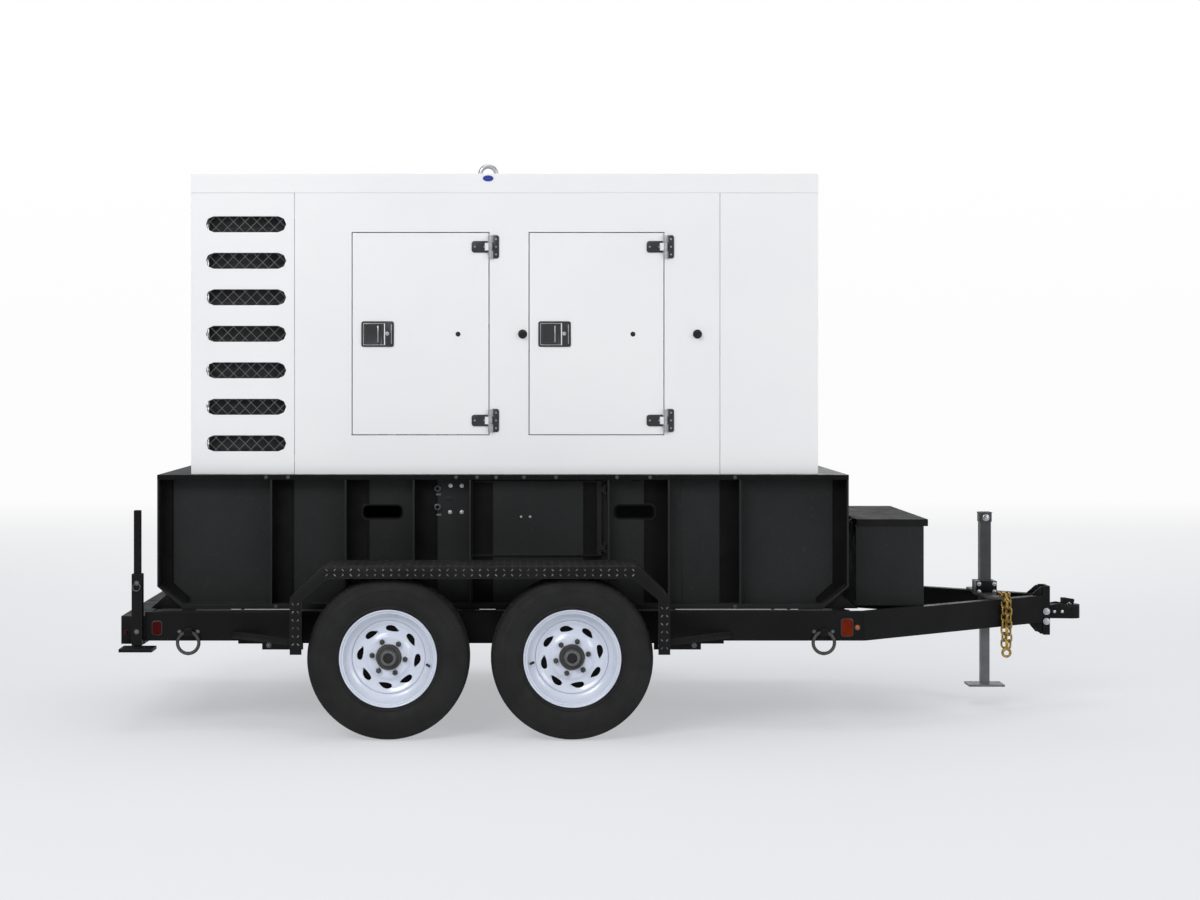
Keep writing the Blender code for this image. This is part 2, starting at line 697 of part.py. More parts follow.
def build_enclosure(white):
    w = house_wall
    y = house_half_width

    def section(inner, far):
        """A U section of wall: far is its closed end."""
        back = far + (w if inner > far else -w)
        plan = [(inner, -y), (far, -y), (far, y), (inner, y), (inner, y - w), (back, y - w),
                (back, -y + w), (inner, -y + w)]
        return prism(plan, "Z", house_bottom, wall_top - gap)

    rear = section(rear_seam - seam_line, house_rear)
    x0, x1 = house_rear + slot_margin, rear_seam - slot_from_seam
    slots = [prism(stadium(x0, x1, z, slot_height), "Y", -y - 0.05, y + 0.05) for z in slot_levels()]
    back_slots = [prism(stadium(-back_slot_half, back_slot_half, z, slot_height), "X",
                        house_rear - 0.05, house_rear + 0.05)
                  for z in slot_levels()]
    piece("enclosure_rear", cut(rear, *slots, *back_slots), white)
    front = section(front_seam + seam_line, house_front)
    piece("enclosure_front", front, white)

    roof = box((house_rear, -y, wall_top), (house_front, y, roof_top))
    roof = cut(roof, box((house_rear + w, -y + w, wall_top - 0.1), (house_front - w, y - w, roof_top - w)))
    piece("roof", roof, white)

    panel = box((rear_seam, wall_y, house_bottom), (front_seam, wall_y + w, wall_top - gap))
    openings, returns, fittings = [], [], []
    z0, z1 = house_bottom + door_rise, house_bottom + door_rise + door_height
    ties = [box((x, wall_y + 0.002, wall_top - 0.06), (x + 0.03, wall_y + 0.03, wall_top - 0.01))
            for x in (rear_seam + 0.02, front_seam - 0.05)]
    for step, width in zip(door_steps, door_widths):
        a, b = rear_seam + step, rear_seam + step + width
        frame = box((a - 0.015, wall_y + 0.001, z0 - 0.015), (b + 0.015, wall_y + door_depth + 0.012,
                                                              z1 + 0.015))
        returns.append(frame)
        openings.append(box((a, wall_y - 0.02, z0), (b, wall_y + door_depth + 0.1, z1)))
        pin_x = b + 0.004
        for z in (z0 + hinge_margin, z1 - hinge_margin):
            fittings.append(box((b + 0.001, wall_y - leaf_thickness, z - 0.050),
                                (b + 0.001 + leaf_width, wall_y + 0.001, z + 0.050)))
            for side in (-1, 1):
                low = z + side * 0.034 - 0.016
                fittings.append(prism([(b + 0.004, wall_y - 0.001), (pin_x - 0.006, hinge_y + 0.002),
                                       (pin_x - 0.004, hinge_y - 0.008), (pin_x + 0.005, hinge_y - 0.008),
                                       (b + 0.018, wall_y - 0.001)], "Z", low, low + 0.032))
            fittings.append(rod("Z", (pin_x, hinge_y), pin_radius, z - 0.040, z + 0.040, 8))
    walls = fuse(panel, *returns, *ties)
    walls = fuse(cut(walls, *openings), *fittings)
    both_sides("enclosure", walls, white)


def build_doors(white, black):
    z0, z1 = house_bottom + door_rise, house_bottom + door_rise + door_height
    for name, step, width in zip(("door_rear", "door_front"), door_steps, door_widths):
        a, b = rear_seam + step + seam, rear_seam + step + width - seam
        low, high = z0 + seam, z1 - seam
        door = box((a, wall_y, low), (b, wall_y + door_depth, high))
        pan = box((a + house_wall, wall_y + house_wall, low + house_wall),
                  (b - house_wall, wall_y + door_depth + 0.1, high - house_wall))
        door = cut(door, pan)
        la, lb = a - seam + latch_from_edge, a - seam + latch_from_edge + latch_width
        lz = house_bottom + door_rise + latch_rise
        l0, l1 = lz - latch_height / 2, lz + latch_height / 2
        tray = box((la, wall_y - latch_proud, l0), (lb, wall_y + tray_depth, l1))
        well = box((la + latch_rim, wall_y - 0.02, l0 + latch_rim),
                   (lb - latch_rim - paddle_margin, wall_y + tray_depth - 0.003, l1 - latch_rim))
        pin_x = b + seam + 0.004
        straps, bores = [], []
        for z in (z0 + hinge_margin, z1 - hinge_margin):
            half = strap_height / 2
            straps.append(box((b - strap_width + 0.006, wall_y - leaf_thickness, z - half),
                              (b - 0.004, wall_y + 0.001, z + half)))
            straps.append(prism([(b - 0.020, wall_y - 0.001), (b - 0.004, wall_y - 0.0035),
                                 (pin_x - 0.001, hinge_y + 0.0085),
                                 (pin_x + 0.006, hinge_y + 0.006), (pin_x + 0.0085, hinge_y),
                                 (pin_x + 0.003, hinge_y - 0.0081), (pin_x - 0.004, hinge_y - 0.0078),
                                 (b - 0.020, wall_y - leaf_thickness)], "Z", z - 0.0165, z + 0.0165))
            bores.append(rod("Z", (pin_x, hinge_y), (pin_radius + running_gap) / cos(pi / 8), z - 0.1,
                             z + 0.1, 8))
        door = cut(fuse(door, tray, *straps), well, *bores)
        both_sides(name, door, white, (pin_x, hinge_y, z0))

        # the paddle lies in the tray and turns about its inner edge
        pa, pb = la + latch_rim + gap * 2, lb - latch_rim - paddle_margin - gap * 2
        face = wall_y - latch_proud - 0.001
        paddle = prism([(pa, face), (pa, face + paddle_thickness), (pb - 0.014, face + paddle_thickness),
                        (pb - 0.010, wall_y + tray_depth - 0.004), (pb, wall_y + tray_depth - 0.004),
                        (pb, face)],
                       "Z", l0 + latch_rim + gap * 2, l1 - latch_rim - gap * 2)
        both_sides(f"latch_{name}", paddle, black, (pb - 0.005, face + 0.002, l0))


def build_lifting_eye(grey):
    x = house_rear + eye_from_house_rear
    base = roof_top + gap
    plate = box((x - eye_plate / 2, -eye_plate / 2, base), (x + eye_plate / 2, eye_plate / 2,
                                                            base + eye_plate_thickness))
    top = roof_top + eye_height
    centre = top - eye_half_width
    arc = [(x + eye_half_width * cos(pi * i / 10),
            centre + eye_half_width * sin(pi * i / 10)) for i in range(11)]
    outline = arc + [(x - eye_half_width, base + 0.004), (x + eye_half_width, base + 0.004)]
    ring = prism(outline, "Y", -eye_thickness / 2, eye_thickness / 2)
    eye = cut(fuse(plate, ring), rod("Y", (x, centre), eye_hole, -0.1, 0.1, 14))
    piece("lifting_eye", eye, grey)


# ---------------------------------------------------------------- tongue fittings
def build_toolbox(black):
    x0 = frame_front + toolbox_gap
    x1 = x0 + toolbox_length
    z0, z1 = rail_top + gap, rail_top + gap + toolbox_height
    y, w = toolbox_half_width, toolbox_wall
    case = box((x0, -y, z0), (x1, y, z1))
    case = cut(case, box((x0 + w, -y + w, z0 + w), (x1 - w, y - w, z1 + 0.1)))
    pin_x, pin_z = x0 - 0.007, z1 + 0.006
    lugs = []
    for side in (-1, 1):
        mid = side * (y - 0.12)
        for edge in (-1, 1):
            at = mid + edge * 0.034
            lugs.append(box((pin_x - 0.006, at - 0.012, z1 - 0.040), (x0 + 0.001, at + 0.012,
                                                                      pin_z + 0.005)))
        lugs.append(rod("Y", (pin_x, pin_z), 0.004, mid - 0.040, mid + 0.040, 8))
    piece("toolbox", fuse(case, *lugs), black)

    over = lid_overhang
    lid_low, lid_high = z1 + gap, z1 + lid_height
    lid = box((x0 + 0.003, -y - over, z1 - 0.002), (x1 + over * 3, y + over, lid_high))
    under = box((x0 - 0.1, -y - 0.0012, z1 - 0.1), (x1 + over * 3 - w, y + 0.0012, lid_low))
    inner = box((x0 + 0.012, -y + 0.012, z1 - 0.1), (x1 - 0.012, y - 0.012, lid_high - w))
    lid = cut(lid, under, inner)
    straps, bores = [], []
    for side in (-1, 1):
        mid = side * (y - 0.12)
        straps.append(prism([(x0 + 0.006, lid_high - 0.006), (x0 + 0.006, lid_high - 0.001),
                             (pin_x - 0.004, pin_z + 0.009),
                             (pin_x - 0.008, pin_z), (pin_x - 0.004, pin_z - 0.008), (x0 - 0.0005,
                                                                                      pin_z - 0.004),
                             (x0 - 0.0005, pin_z + 0.002), (x0 + 0.006, pin_z + 0.004)],
                            "Y", mid - 0.0215, mid + 0.0215))
        bores.append(rod("Y", (pin_x, pin_z), (0.004 + running_gap) / cos(pi / 8), mid - 0.1, mid + 0.1, 8))
    piece("toolbox_lid", cut(fuse(lid, *straps), *bores), black, (pin_x, 0, pin_z))


def build_jack(black, grey):
    x = nose - jack_from_nose
    half = jack_tube / 2
    low = rail_top - jack_tube_drop
    slope = (frame_half_width - tongue_end_width) / tongue_length
    reach = frame_half_width - slope * (x - frame_front) - 0.010
    plate_z = rail_top + gap
    body = box((x - half, -half, low), (x + half, half, jack_top - 0.012))
    plate = box((x - jack_plate_half, -reach, plate_z), (x + jack_plate_half, reach, plate_z + jack_plate))
    block = box((x - jack_block / 2, -0.045, plate_z), (x + jack_block / 2, 0.045,
                                                        plate_z + jack_block_height))
    cap = box((x - jack_cap / 2, -jack_cap / 2, jack_top - 0.040), (x + jack_cap / 2, jack_cap / 2,
                                                                    jack_top))
    side = jack_leg_side / 2 + slide_gap
    bore = box((x - side, -side, low - 0.1), (x + side, side, jack_top - 0.020))
    piece("jack_housing", cut(fuse(body, plate, block, cap), bore), black)

    side = jack_leg_side / 2
    foot_top = jack_foot_bottom + jack_foot_thickness
    leg = box((x - side, -side, foot_top - 0.002), (x + side, side, low + jack_leg_engaged))
    wall = 0.006
    hollow = box((x - side + wall, -side + wall, foot_top + 0.010), (x + side - wall, side - wall,
                                                                     jack_top + 0.1))
    foot = box((x - jack_foot_length / 2, -jack_foot_width / 2, jack_foot_bottom),
               (x + jack_foot_length / 2, jack_foot_width / 2, foot_top))
    piece("jack_leg", fuse(cut(leg, hollow), foot), grey)


def build_stabilizers(black, grey):
    x = rear_end + sleeve_from_rear + sleeve_side / 2
    y = -frame_half_width - gap - sleeve_side / 2
    half, bore = sleeve_side / 2, stab_leg_side / 2 + slide_gap
    sleeve = box((x - half, y - half, sleeve_bottom), (x + half, y + half, sleeve_bottom + sleeve_height))
    sleeve = cut(sleeve, box((x - bore, y - bore, 0), (x + bore, y + bore, 2)))
    both_sides("stabilizer_sleeve", sleeve, black)
    side = stab_leg_side / 2
    leg = box((x - side, y - side, stab_foot_bottom + 0.004), (x + side, y + side, stab_top))
    hollow = box((x - side + 0.004, y - side + 0.004, stab_foot_bottom + stab_foot_thickness + 0.004),
                 (x + side - 0.004, y + side - 0.004, stab_top + 0.1))
    foot = box((x - stab_foot_length / 2, y - 0.060, stab_foot_bottom),
               (x + stab_foot_length / 2, y + 0.060, stab_foot_bottom + stab_foot_thickness))
    both_sides("stabilizer_leg", fuse(cut(leg, hollow), foot), grey)


def build_rings(black):
    z = rail_bottom + ring_pivot_rise
    for name, step in zip(("tie_down_rear", "tie_down_front"), ring_steps):
        x = rear_end + step
        y = -frame_half_width - gap - lug_depth / 2
        # the ring's upper arc runs in the loop of its staple
        centre = (x, y, z - ring_radius + ring_wire)
        both_sides(name, torus(centre, ring_radius - ring_wire, ring_wire, ring_sides, 6, "Y"),
                   black, (x, y, z))


def build_staples(black):
    """Staples welded to the rails, which the tie-down rings hang in."""
    z = rail_bottom + ring_pivot_rise
    arc = ring_radius - ring_wire
    drop = arc - (arc ** 2 - (lug_width / 2) ** 2) ** 0.5
    tight, loose = ring_wire + running_gap, ring_wire + running_gap + drop
    for side_name, side in (("right", -1), ("left", 1)):
        rail = bpy.data.objects["side_rail_" + side_name]
        staples = []
        for step in ring_steps:
            x = rear_end + step
            y = side * (frame_half_width + gap + lug_depth / 2)
            near = side * (frame_half_width - 0.002)
            far = side * (frame_half_width + gap + lug_depth / 2 + loose + lug_wall)
            block = box((x - lug_width / 2, min(near, far), z - loose - lug_wall),
                        (x + lug_width / 2, max(near, far), z + tight + lug_wall))
            inner, outer = y - side * tight, y + side * loose
            passage = box((x - 0.1, min(inner, outer), z - loose), (x + 0.1, max(inner, outer), z + tight))
            staples.append(cut(block, passage))
        fuse(rail, *staples)
        rail.data.materials.clear()
        rail.data.materials.append(black)


# ---------------------------------------------------------------- power unit
def build_power_unit(iron, black, alloy):
    x0 = house_rear + engine_from_house_rear
    x1 = x0 + engine_length
    z0 = deck_height
    shaft = z0 + shaft_rise
    half = engine_width / 2
    block = box((x0, -half, z0 + engine_feet), (x1, half, z0 + engine_feet + engine_height))
    head = box((x0 + 0.02, -half * 0.75, z0 + engine_feet + engine_height - 0.01),
               (x1 - 0.02, half * 0.75, z0 + engine_feet + engine_height + head_height))
    feet = [box((x0 + dx, side * half - 0.05, z0), (x0 + dx + 0.08, side * half + 0.05,
                                                    z0 + engine_feet + 0.02))
            for dx in (0.06, engine_length - 0.14) for side in (-1, 1)]
    nose_shaft = rod("X", (0, shaft), fan_shaft, x1 - 0.01, x1 + radiator_gap * 0.62, 16)
    piece("engine", fuse(block, head, *feet, nose_shaft), iron)

    a0, a1 = x0 - gap - alternator_length, x0 - gap
    drum = rod("X", (0, shaft), alternator_radius, a0, a1, 20)
    saddle = box((a0 + 0.06, -0.16, z0), (a1 - 0.06, 0.16, shaft - alternator_radius * 0.8))
    bore = rod("X", (0, shaft), alternator_radius * 0.62, a0 - 0.1, a1 - 0.03, 16)
    piece("alternator", cut(fuse(drum, saddle), bore), black)

    r0 = x1 + radiator_gap
    core = box((r0, -radiator_width / 2, z0), (r0 + radiator_depth, radiator_width / 2,
                                               z0 + radiator_height))
    duct = rod("X", (0, shaft), fan_radius + 0.02, r0 - 0.1, r0 + 0.030, 20)
    piece("radiator", cut(core, duct), alloy)

    f0 = x1 + 0.020
    hub = rod("X", (0, shaft), 0.070, f0, f0 + 0.045, 12)
    blades = []
    for i in range(fan_blades):
        turn = 2 * pi * i / fan_blades
        out, around = Vector((cos(turn), sin(turn))), Vector((-sin(turn), cos(turn)))
        mid = Vector((0, shaft))
        corners = [mid + out * 0.050 - around * 0.025, mid + out * fan_radius * 0.97 - around * 0.060,
                   mid + out * fan_radius * 0.97 + around * 0.060, mid + out * 0.050 + around * 0.025]
        blades.append(prism([tuple(c) for c in corners], "X", f0 + 0.012, f0 + 0.020))
    bore = rod("X", (0, shaft), (fan_shaft + running_gap) / cos(pi / 16), f0 - 0.1, f0 + 0.1, 16)
    piece("cooling_fan", cut(fuse(hub, *blades), bore), black, (f0, 0, shaft))

    m_z = z0 + 0.86
    m0 = house_rear + 0.42
    can = rod("X", (0.05, m_z), muffler_radius, m0, m0 + muffler_length, 16)
    can = cut(can, rod("X", (0.05, m_z), muffler_radius - 0.004, m0 + 0.004, m0 + muffler_length + 0.1, 16))
    legs = [box((m0 + dx, -0.05, z0), (m0 + dx + 0.03, 0.15,
                                       m_z - muffler_radius * 0.93)) for dx in (0.06,)]
    legs.append(box((m0 + 0.06, -0.30, z0), (m0 + 0.09, 0.15, z0 + 0.02)))
    piece("muffler", fuse(can, *legs), black)

    p0 = rear_seam + door_steps[0] + 0.10
    p_y = wall_y + door_depth + 0.030
    case = box((p0, p_y, z0 + 0.46), (p0 + panel_width, p_y + panel_depth, z0 + 0.46 + panel_height))
    case = cut(case, box((p0 + 0.003, p_y + 0.003, z0 + 0.463), (p0 + panel_width - 0.003, p_y + 1,
                                                                  z0 + 0.457 + panel_height)))
    stand = [box((p0 + dx, p_y + 0.001, z0), (p0 + dx + 0.03, p_y + 0.03, z0 + 0.47))
             for dx in (0.02, panel_width - 0.05)]
    piece("control_panel", fuse(case, *stand), black)


def main():
    clear_scene()
    black = paint("black_paint", (0.022, 0.023, 0.024), 0.45)
    white = paint("white_paint", (0.80, 0.80, 0.80), 0.35)
    tread = paint("tread_plate", (0.022, 0.022, 0.023), 0.4)
    rubber = paint("tyre_rubber", (0.03, 0.03, 0.032), 0.8)
    rim_white = paint("rim_white", (0.72, 0.76, 0.82), 0.3)
    zinc = paint("zinc", (0.35, 0.36, 0.37), 0.4, 0.8)
    grey = paint("grey_paint", (0.16, 0.16, 0.165), 0.5)
    gold = paint("yellow_zinc", (0.45, 0.33, 0.12), 0.35, 0.9)
    iron = paint("cast_iron", (0.08, 0.09, 0.10), 0.6)
    alloy = paint("alloy", (0.40, 0.41, 0.42), 0.45, 0.8)
    build_frame(black)
    build_coupler(black, zinc)
    build_chain(gold)
    build_running_gear(black, rubber, rim_white)
    build_fenders(tread)
    build_base(black)
    build_enclosure(white)
    build_doors(white, black)
    build_lifting_eye(grey)
    build_toolbox(black)
    build_jack(black, grey)
    build_stabilizers(black, grey)
    build_rings(black)
    build_staples(black)
    build_power_unit(iron, black, alloy)


main()
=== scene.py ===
import json
import math

import bpy
from mathutils import Matrix, Vector


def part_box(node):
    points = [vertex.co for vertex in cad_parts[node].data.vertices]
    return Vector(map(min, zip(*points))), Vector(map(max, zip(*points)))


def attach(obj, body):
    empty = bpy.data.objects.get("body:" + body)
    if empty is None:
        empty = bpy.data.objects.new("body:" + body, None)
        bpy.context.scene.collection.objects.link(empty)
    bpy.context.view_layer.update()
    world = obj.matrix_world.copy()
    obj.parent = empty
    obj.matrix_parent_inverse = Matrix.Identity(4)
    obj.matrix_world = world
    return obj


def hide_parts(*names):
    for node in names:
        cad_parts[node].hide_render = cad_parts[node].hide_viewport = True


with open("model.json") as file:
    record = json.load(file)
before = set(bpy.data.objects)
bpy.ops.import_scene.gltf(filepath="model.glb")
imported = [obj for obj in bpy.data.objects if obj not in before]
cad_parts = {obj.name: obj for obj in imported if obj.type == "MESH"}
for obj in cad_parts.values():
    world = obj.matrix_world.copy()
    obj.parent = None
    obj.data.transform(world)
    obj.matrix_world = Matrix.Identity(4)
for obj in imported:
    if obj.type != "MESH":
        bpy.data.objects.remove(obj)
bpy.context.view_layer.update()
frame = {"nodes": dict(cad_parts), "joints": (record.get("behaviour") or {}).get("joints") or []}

nodes = frame["nodes"]
sides = {"right": -1, "left": 1}        # the right-hand side of the trailer is at -Y
print("frame loaded:", len(nodes), "solids")


# camera, floor and lamps

studio = {
    "eye": (-0.458, -9.4, 1.553), "lens": 59.7, "shift": (0.0683, -0.0633),
    "floorNear": (0.80, 0.82, 0.86), "floorFar": (0.98, 0.98, 0.985), "floorShow": 0.50,
    "skyHigh": (1.0, 1.0, 1.0), "skyLow": (0.98, 0.98, 0.985), "skyLight": 0.50,
    "lamps": [("key_lamp", (-4.5, -8.5, 6.5), (5.0, 3.5), 468),
              ("fill_lamp", (6.5, -7.5, 4.0), (4.0, 3.0), 195),
              ("top_lamp", (-0.5, 0.5, 8.5), (6.0, 4.0), 185),
              ("back_lamp", (1.0, 9.0, 5.0), (6.0, 3.0), 200)],
}


def joinNodes(tree, first, second):
    tree.links.new(first, second)


def makeStudio(look):
    bpy.ops.object.select_all(action="DESELECT")
    bpy.ops.object.camera_add(location=look["eye"], rotation=(math.radians(90), 0, 0))
    camera = bpy.context.active_object
    camera.name = "studio_camera"
    camera.data.lens = look["lens"]
    camera.data.sensor_width = 36
    camera.data.shift_x, camera.data.shift_y = look["shift"]
    bpy.context.scene.camera = camera

    aim = Vector((-0.1, 0, 1.1))
    for name, place, size, power in look["lamps"]:
        bpy.ops.object.light_add(type="AREA", location=place)
        lamp = bpy.context.active_object
        lamp.name = name
        lamp.data.shape = "RECTANGLE"
        lamp.data.size, lamp.data.size_y = size
        lamp.data.energy = power
        lamp.rotation_euler = (aim - Vector(place)).to_track_quat("-Z", "Y").to_euler()

    bpy.ops.mesh.primitive_plane_add(size=90, location=(0, 20, 0))
    floor = bpy.context.active_object
    floor.name = "studio_floor"
    paint = bpy.data.materials.new("floorPaint")
    paint.use_nodes = True
    tree = paint.node_tree
    tree.nodes.clear()
    out = tree.nodes.new("ShaderNodeOutputMaterial")
    matt = tree.nodes.new("ShaderNodeBsdfDiffuse")
    matt.inputs["Color"].default_value = (0.72, 0.73, 0.75, 1)
    glow = tree.nodes.new("ShaderNodeEmission")
    where = tree.nodes.new("ShaderNodeTexCoord")
    parts = tree.nodes.new("ShaderNodeSeparateXYZ")
    ramp = tree.nodes.new("ShaderNodeMapRange")
    ramp.inputs["From Min"].default_value = -29.0
    ramp.inputs["From Max"].default_value = -8.0
    tint = tree.nodes.new("ShaderNodeMix")
    tint.data_type = "RGBA"
    tint.inputs["A"].default_value = (*look["floorNear"], 1)
    tint.inputs["B"].default_value = (*look["floorFar"], 1)
    path = tree.nodes.new("ShaderNodeLightPath")
    glossOrCamera = tree.nodes.new("ShaderNodeMath")
    glossOrCamera.operation = "MAXIMUM"
    through = tree.nodes.new("ShaderNodeMath")
    through.operation = "MAXIMUM"
    share = tree.nodes.new("ShaderNodeMath")
    share.operation = "MULTIPLY"
    reach = tree.nodes.new("ShaderNodeMapRange")        # the far floor runs into the backdrop
    for key, number in (("From Min", -19.0), ("From Max", -5.0), ("To Min", look["floorShow"]),
                        ("To Max", 1.0)):
        reach.inputs[key].default_value = number
    joinNodes(tree, reach.outputs[0], share.inputs[1])
    mixed = tree.nodes.new("ShaderNodeMixShader")
    for first, second in (
            (where.outputs["Object"], parts.inputs[0]), (parts.outputs["Y"], ramp.inputs["Value"]),
            (parts.outputs["Y"], reach.inputs["Value"]),
            (ramp.outputs[0], tint.inputs["Factor"]), (tint.outputs["Result"], glow.inputs["Color"]),
            (path.outputs["Is Camera Ray"], glossOrCamera.inputs[0]),
            (path.outputs["Is Glossy Ray"], glossOrCamera.inputs[1]),
            (glossOrCamera.outputs[0], through.inputs[0]),
            (path.outputs["Is Transmission Ray"], through.inputs[1]),
            (through.outputs[0], share.inputs[0]), (share.outputs[0], mixed.inputs[0]),
            (matt.outputs[0], mixed.inputs[1]), (glow.outputs[0], mixed.inputs[2]),
            (mixed.outputs[0], out.inputs["Surface"])):
        joinNodes(tree, first, second)
    floor.data.materials.append(paint)

    world = bpy.data.worlds.new("studioAir")
    bpy.context.scene.world = world
    world.use_nodes = True
    tree = world.node_tree
    tree.nodes.clear()
    out = tree.nodes.new("ShaderNodeOutputWorld")
    light = tree.nodes.new("ShaderNodeBackground")
    light.inputs["Color"].default_value = (0.95, 0.97, 1.0, 1)
    light.inputs["Strength"].default_value = look["skyLight"]
    seen = tree.nodes.new("ShaderNodeBackground")
    where = tree.nodes.new("ShaderNodeTexCoord")
    parts = tree.nodes.new("ShaderNodeSeparateXYZ")
    ramp = tree.nodes.new("ShaderNodeMapRange")
    ramp.inputs["From Max"].default_value = 0.12
    tint = tree.nodes.new("ShaderNodeMix")
    tint.data_type = "RGBA"
    tint.inputs["A"].default_value = (*look["skyLow"], 1)
    tint.inputs["B"].default_value = (*look["skyHigh"], 1)
    path = tree.nodes.new("ShaderNodeLightPath")
    glossOrCamera = tree.nodes.new("ShaderNodeMath")
    glossOrCamera.operation = "MAXIMUM"
    mixed = tree.nodes.new("ShaderNodeMixShader")
    for first, second in (
            (where.outputs["Generated"], parts.inputs[0]), (parts.outputs["Z"], ramp.inputs["Value"]),
            (ramp.outputs[0], tint.inputs["Factor"]), (tint.outputs["Result"], seen.inputs["Color"]),
            (path.outputs["Is Camera Ray"], glossOrCamera.inputs[0]),
            (path.outputs["Is Transmission Ray"], glossOrCamera.inputs[1]),
            (glossOrCamera.outputs[0], mixed.inputs[0]), (light.outputs[0], mixed.inputs[1]),
            (seen.outputs[0], mixed.inputs[2]), (mixed.outputs[0], out.inputs["Surface"])):
        joinNodes(tree, first, second)
    bpy.context.scene.view_settings.view_transform = "Standard"


makeStudio(studio)
print("studio ready")


# finishes

def makeFinish(name, look):
    # colours: the two that a slow cloud mixes; grain: scale and strength of the fine bump
    # dust: colour and amount on what faces up; edge: colour, width and amount on lighter corners, partly wear
    # and partly a painted highlight along the edges
    # speck: colour, scale and amount
    finish = bpy.data.materials.new(name)
    finish.use_nodes = True
    tree = finish.node_tree
    shader = tree.nodes["Principled BSDF"]
    shader.inputs["Metallic"].default_value = look.get("metal", 0.0)
    shader.inputs["Coat Weight"].default_value = look.get("coat", 0.0)
    shader.inputs["Coat Roughness"].default_value = 0.12
    shader.inputs["Specular IOR Level"].default_value = look.get("specular", 0.5)
    where = tree.nodes.new("ShaderNodeTexCoord")

    def noise(scale, detail):
        made = tree.nodes.new("ShaderNodeTexNoise")
        made.inputs["Scale"].default_value = scale
        made.inputs["Detail"].default_value = detail
        joinNodes(tree, where.outputs["Object"], made.inputs["Vector"])
        return made.outputs["Fac"]

    def spread(value, low, high, toLow=0.0, toHigh=1.0):
        made = tree.nodes.new("ShaderNodeMapRange")
        for key, number in (("From Min", low), ("From Max", high), ("To Min", toLow), ("To Max", toHigh)):
            made.inputs[key].default_value = number
        joinNodes(tree, value, made.inputs["Value"])
        return made.outputs[0]

    def times(first, second):
        made = tree.nodes.new("ShaderNodeMath")
        made.operation = "MULTIPLY"
        joinNodes(tree, first, made.inputs[0])
        joinNodes(tree, second, made.inputs[1])
        return made.outputs[0]

    def tinted(amount, first, second):
        made = tree.nodes.new("ShaderNodeMix")
        made.data_type = "RGBA"
        joinNodes(tree, amount, made.inputs["Factor"])
        for socket, colour in (("A", first), ("B", second)):
            if isinstance(colour, tuple):
                made.inputs[socket].default_value = (*colour, 1)
            else:
                joinNodes(tree, colour, made.inputs[socket])
        return made.outputs["Result"]

    colour = tinted(spread(noise(look["cloud"], 5), 0.32, 0.68), *look["colours"])
    if "speck" in look:
        speck, size, amount = look["speck"]
        colour = tinted(spread(noise(size, 2), 0.60, 0.72, 0.0, amount), colour, speck)
    if "dust" in look:
        dust, amount = look["dust"]
        facing = tree.nodes.new("ShaderNodeNewGeometry")
        parts = tree.nodes.new("ShaderNodeSeparateXYZ")
        joinNodes(tree, facing.outputs["Normal"], parts.inputs[0])
        up = spread(parts.outputs["Z"], 0.25, 0.95, 0.0, amount)
        patch = spread(noise(9.0, 6), 0.30, 0.75, 0.35, 1.0)
        colour = tinted(times(up, patch), colour, dust)
    # the corners are made lighter: partly wear, partly a painted highlight along the edges
    if "edge" in look:
        edge, width, amount = look["edge"]
        soft = tree.nodes.new("ShaderNodeBevel")
        soft.inputs["Radius"].default_value = width
        soft.samples = 4
        flat = tree.nodes.new("ShaderNodeNewGeometry")
        dot = tree.nodes.new("ShaderNodeVectorMath")
        dot.operation = "DOT_PRODUCT"
        joinNodes(tree, soft.outputs[0], dot.inputs[0])
        joinNodes(tree, flat.outputs["Normal"], dot.inputs[1])
        edgeWearAndHighlight = spread(dot.outputs["Value"], 0.93, 0.80, 0.0, amount)
        ragged = spread(noise(45.0, 4), 0.35, 0.62, 0.25, 1.0)
        colour = tinted(times(edgeWearAndHighlight, ragged), colour, edge)
    joinNodes(tree, colour, shader.inputs["Base Color"])

    rough = spread(noise(14.0, 4), 0.30, 0.70, *look["rough"])
    joinNodes(tree, rough, shader.inputs["Roughness"])
    bump = tree.nodes.new("ShaderNodeBump")
    grain, strength = look["grain"]
    bump.inputs["Strength"].default_value = strength
    bump.inputs["Distance"].default_value = look.get("grainDepth", 0.0004)
    joinNodes(tree, noise(grain, 3), bump.inputs["Height"])
    joinNodes(tree, bump.outputs[0], shader.inputs["Normal"])
    return finish
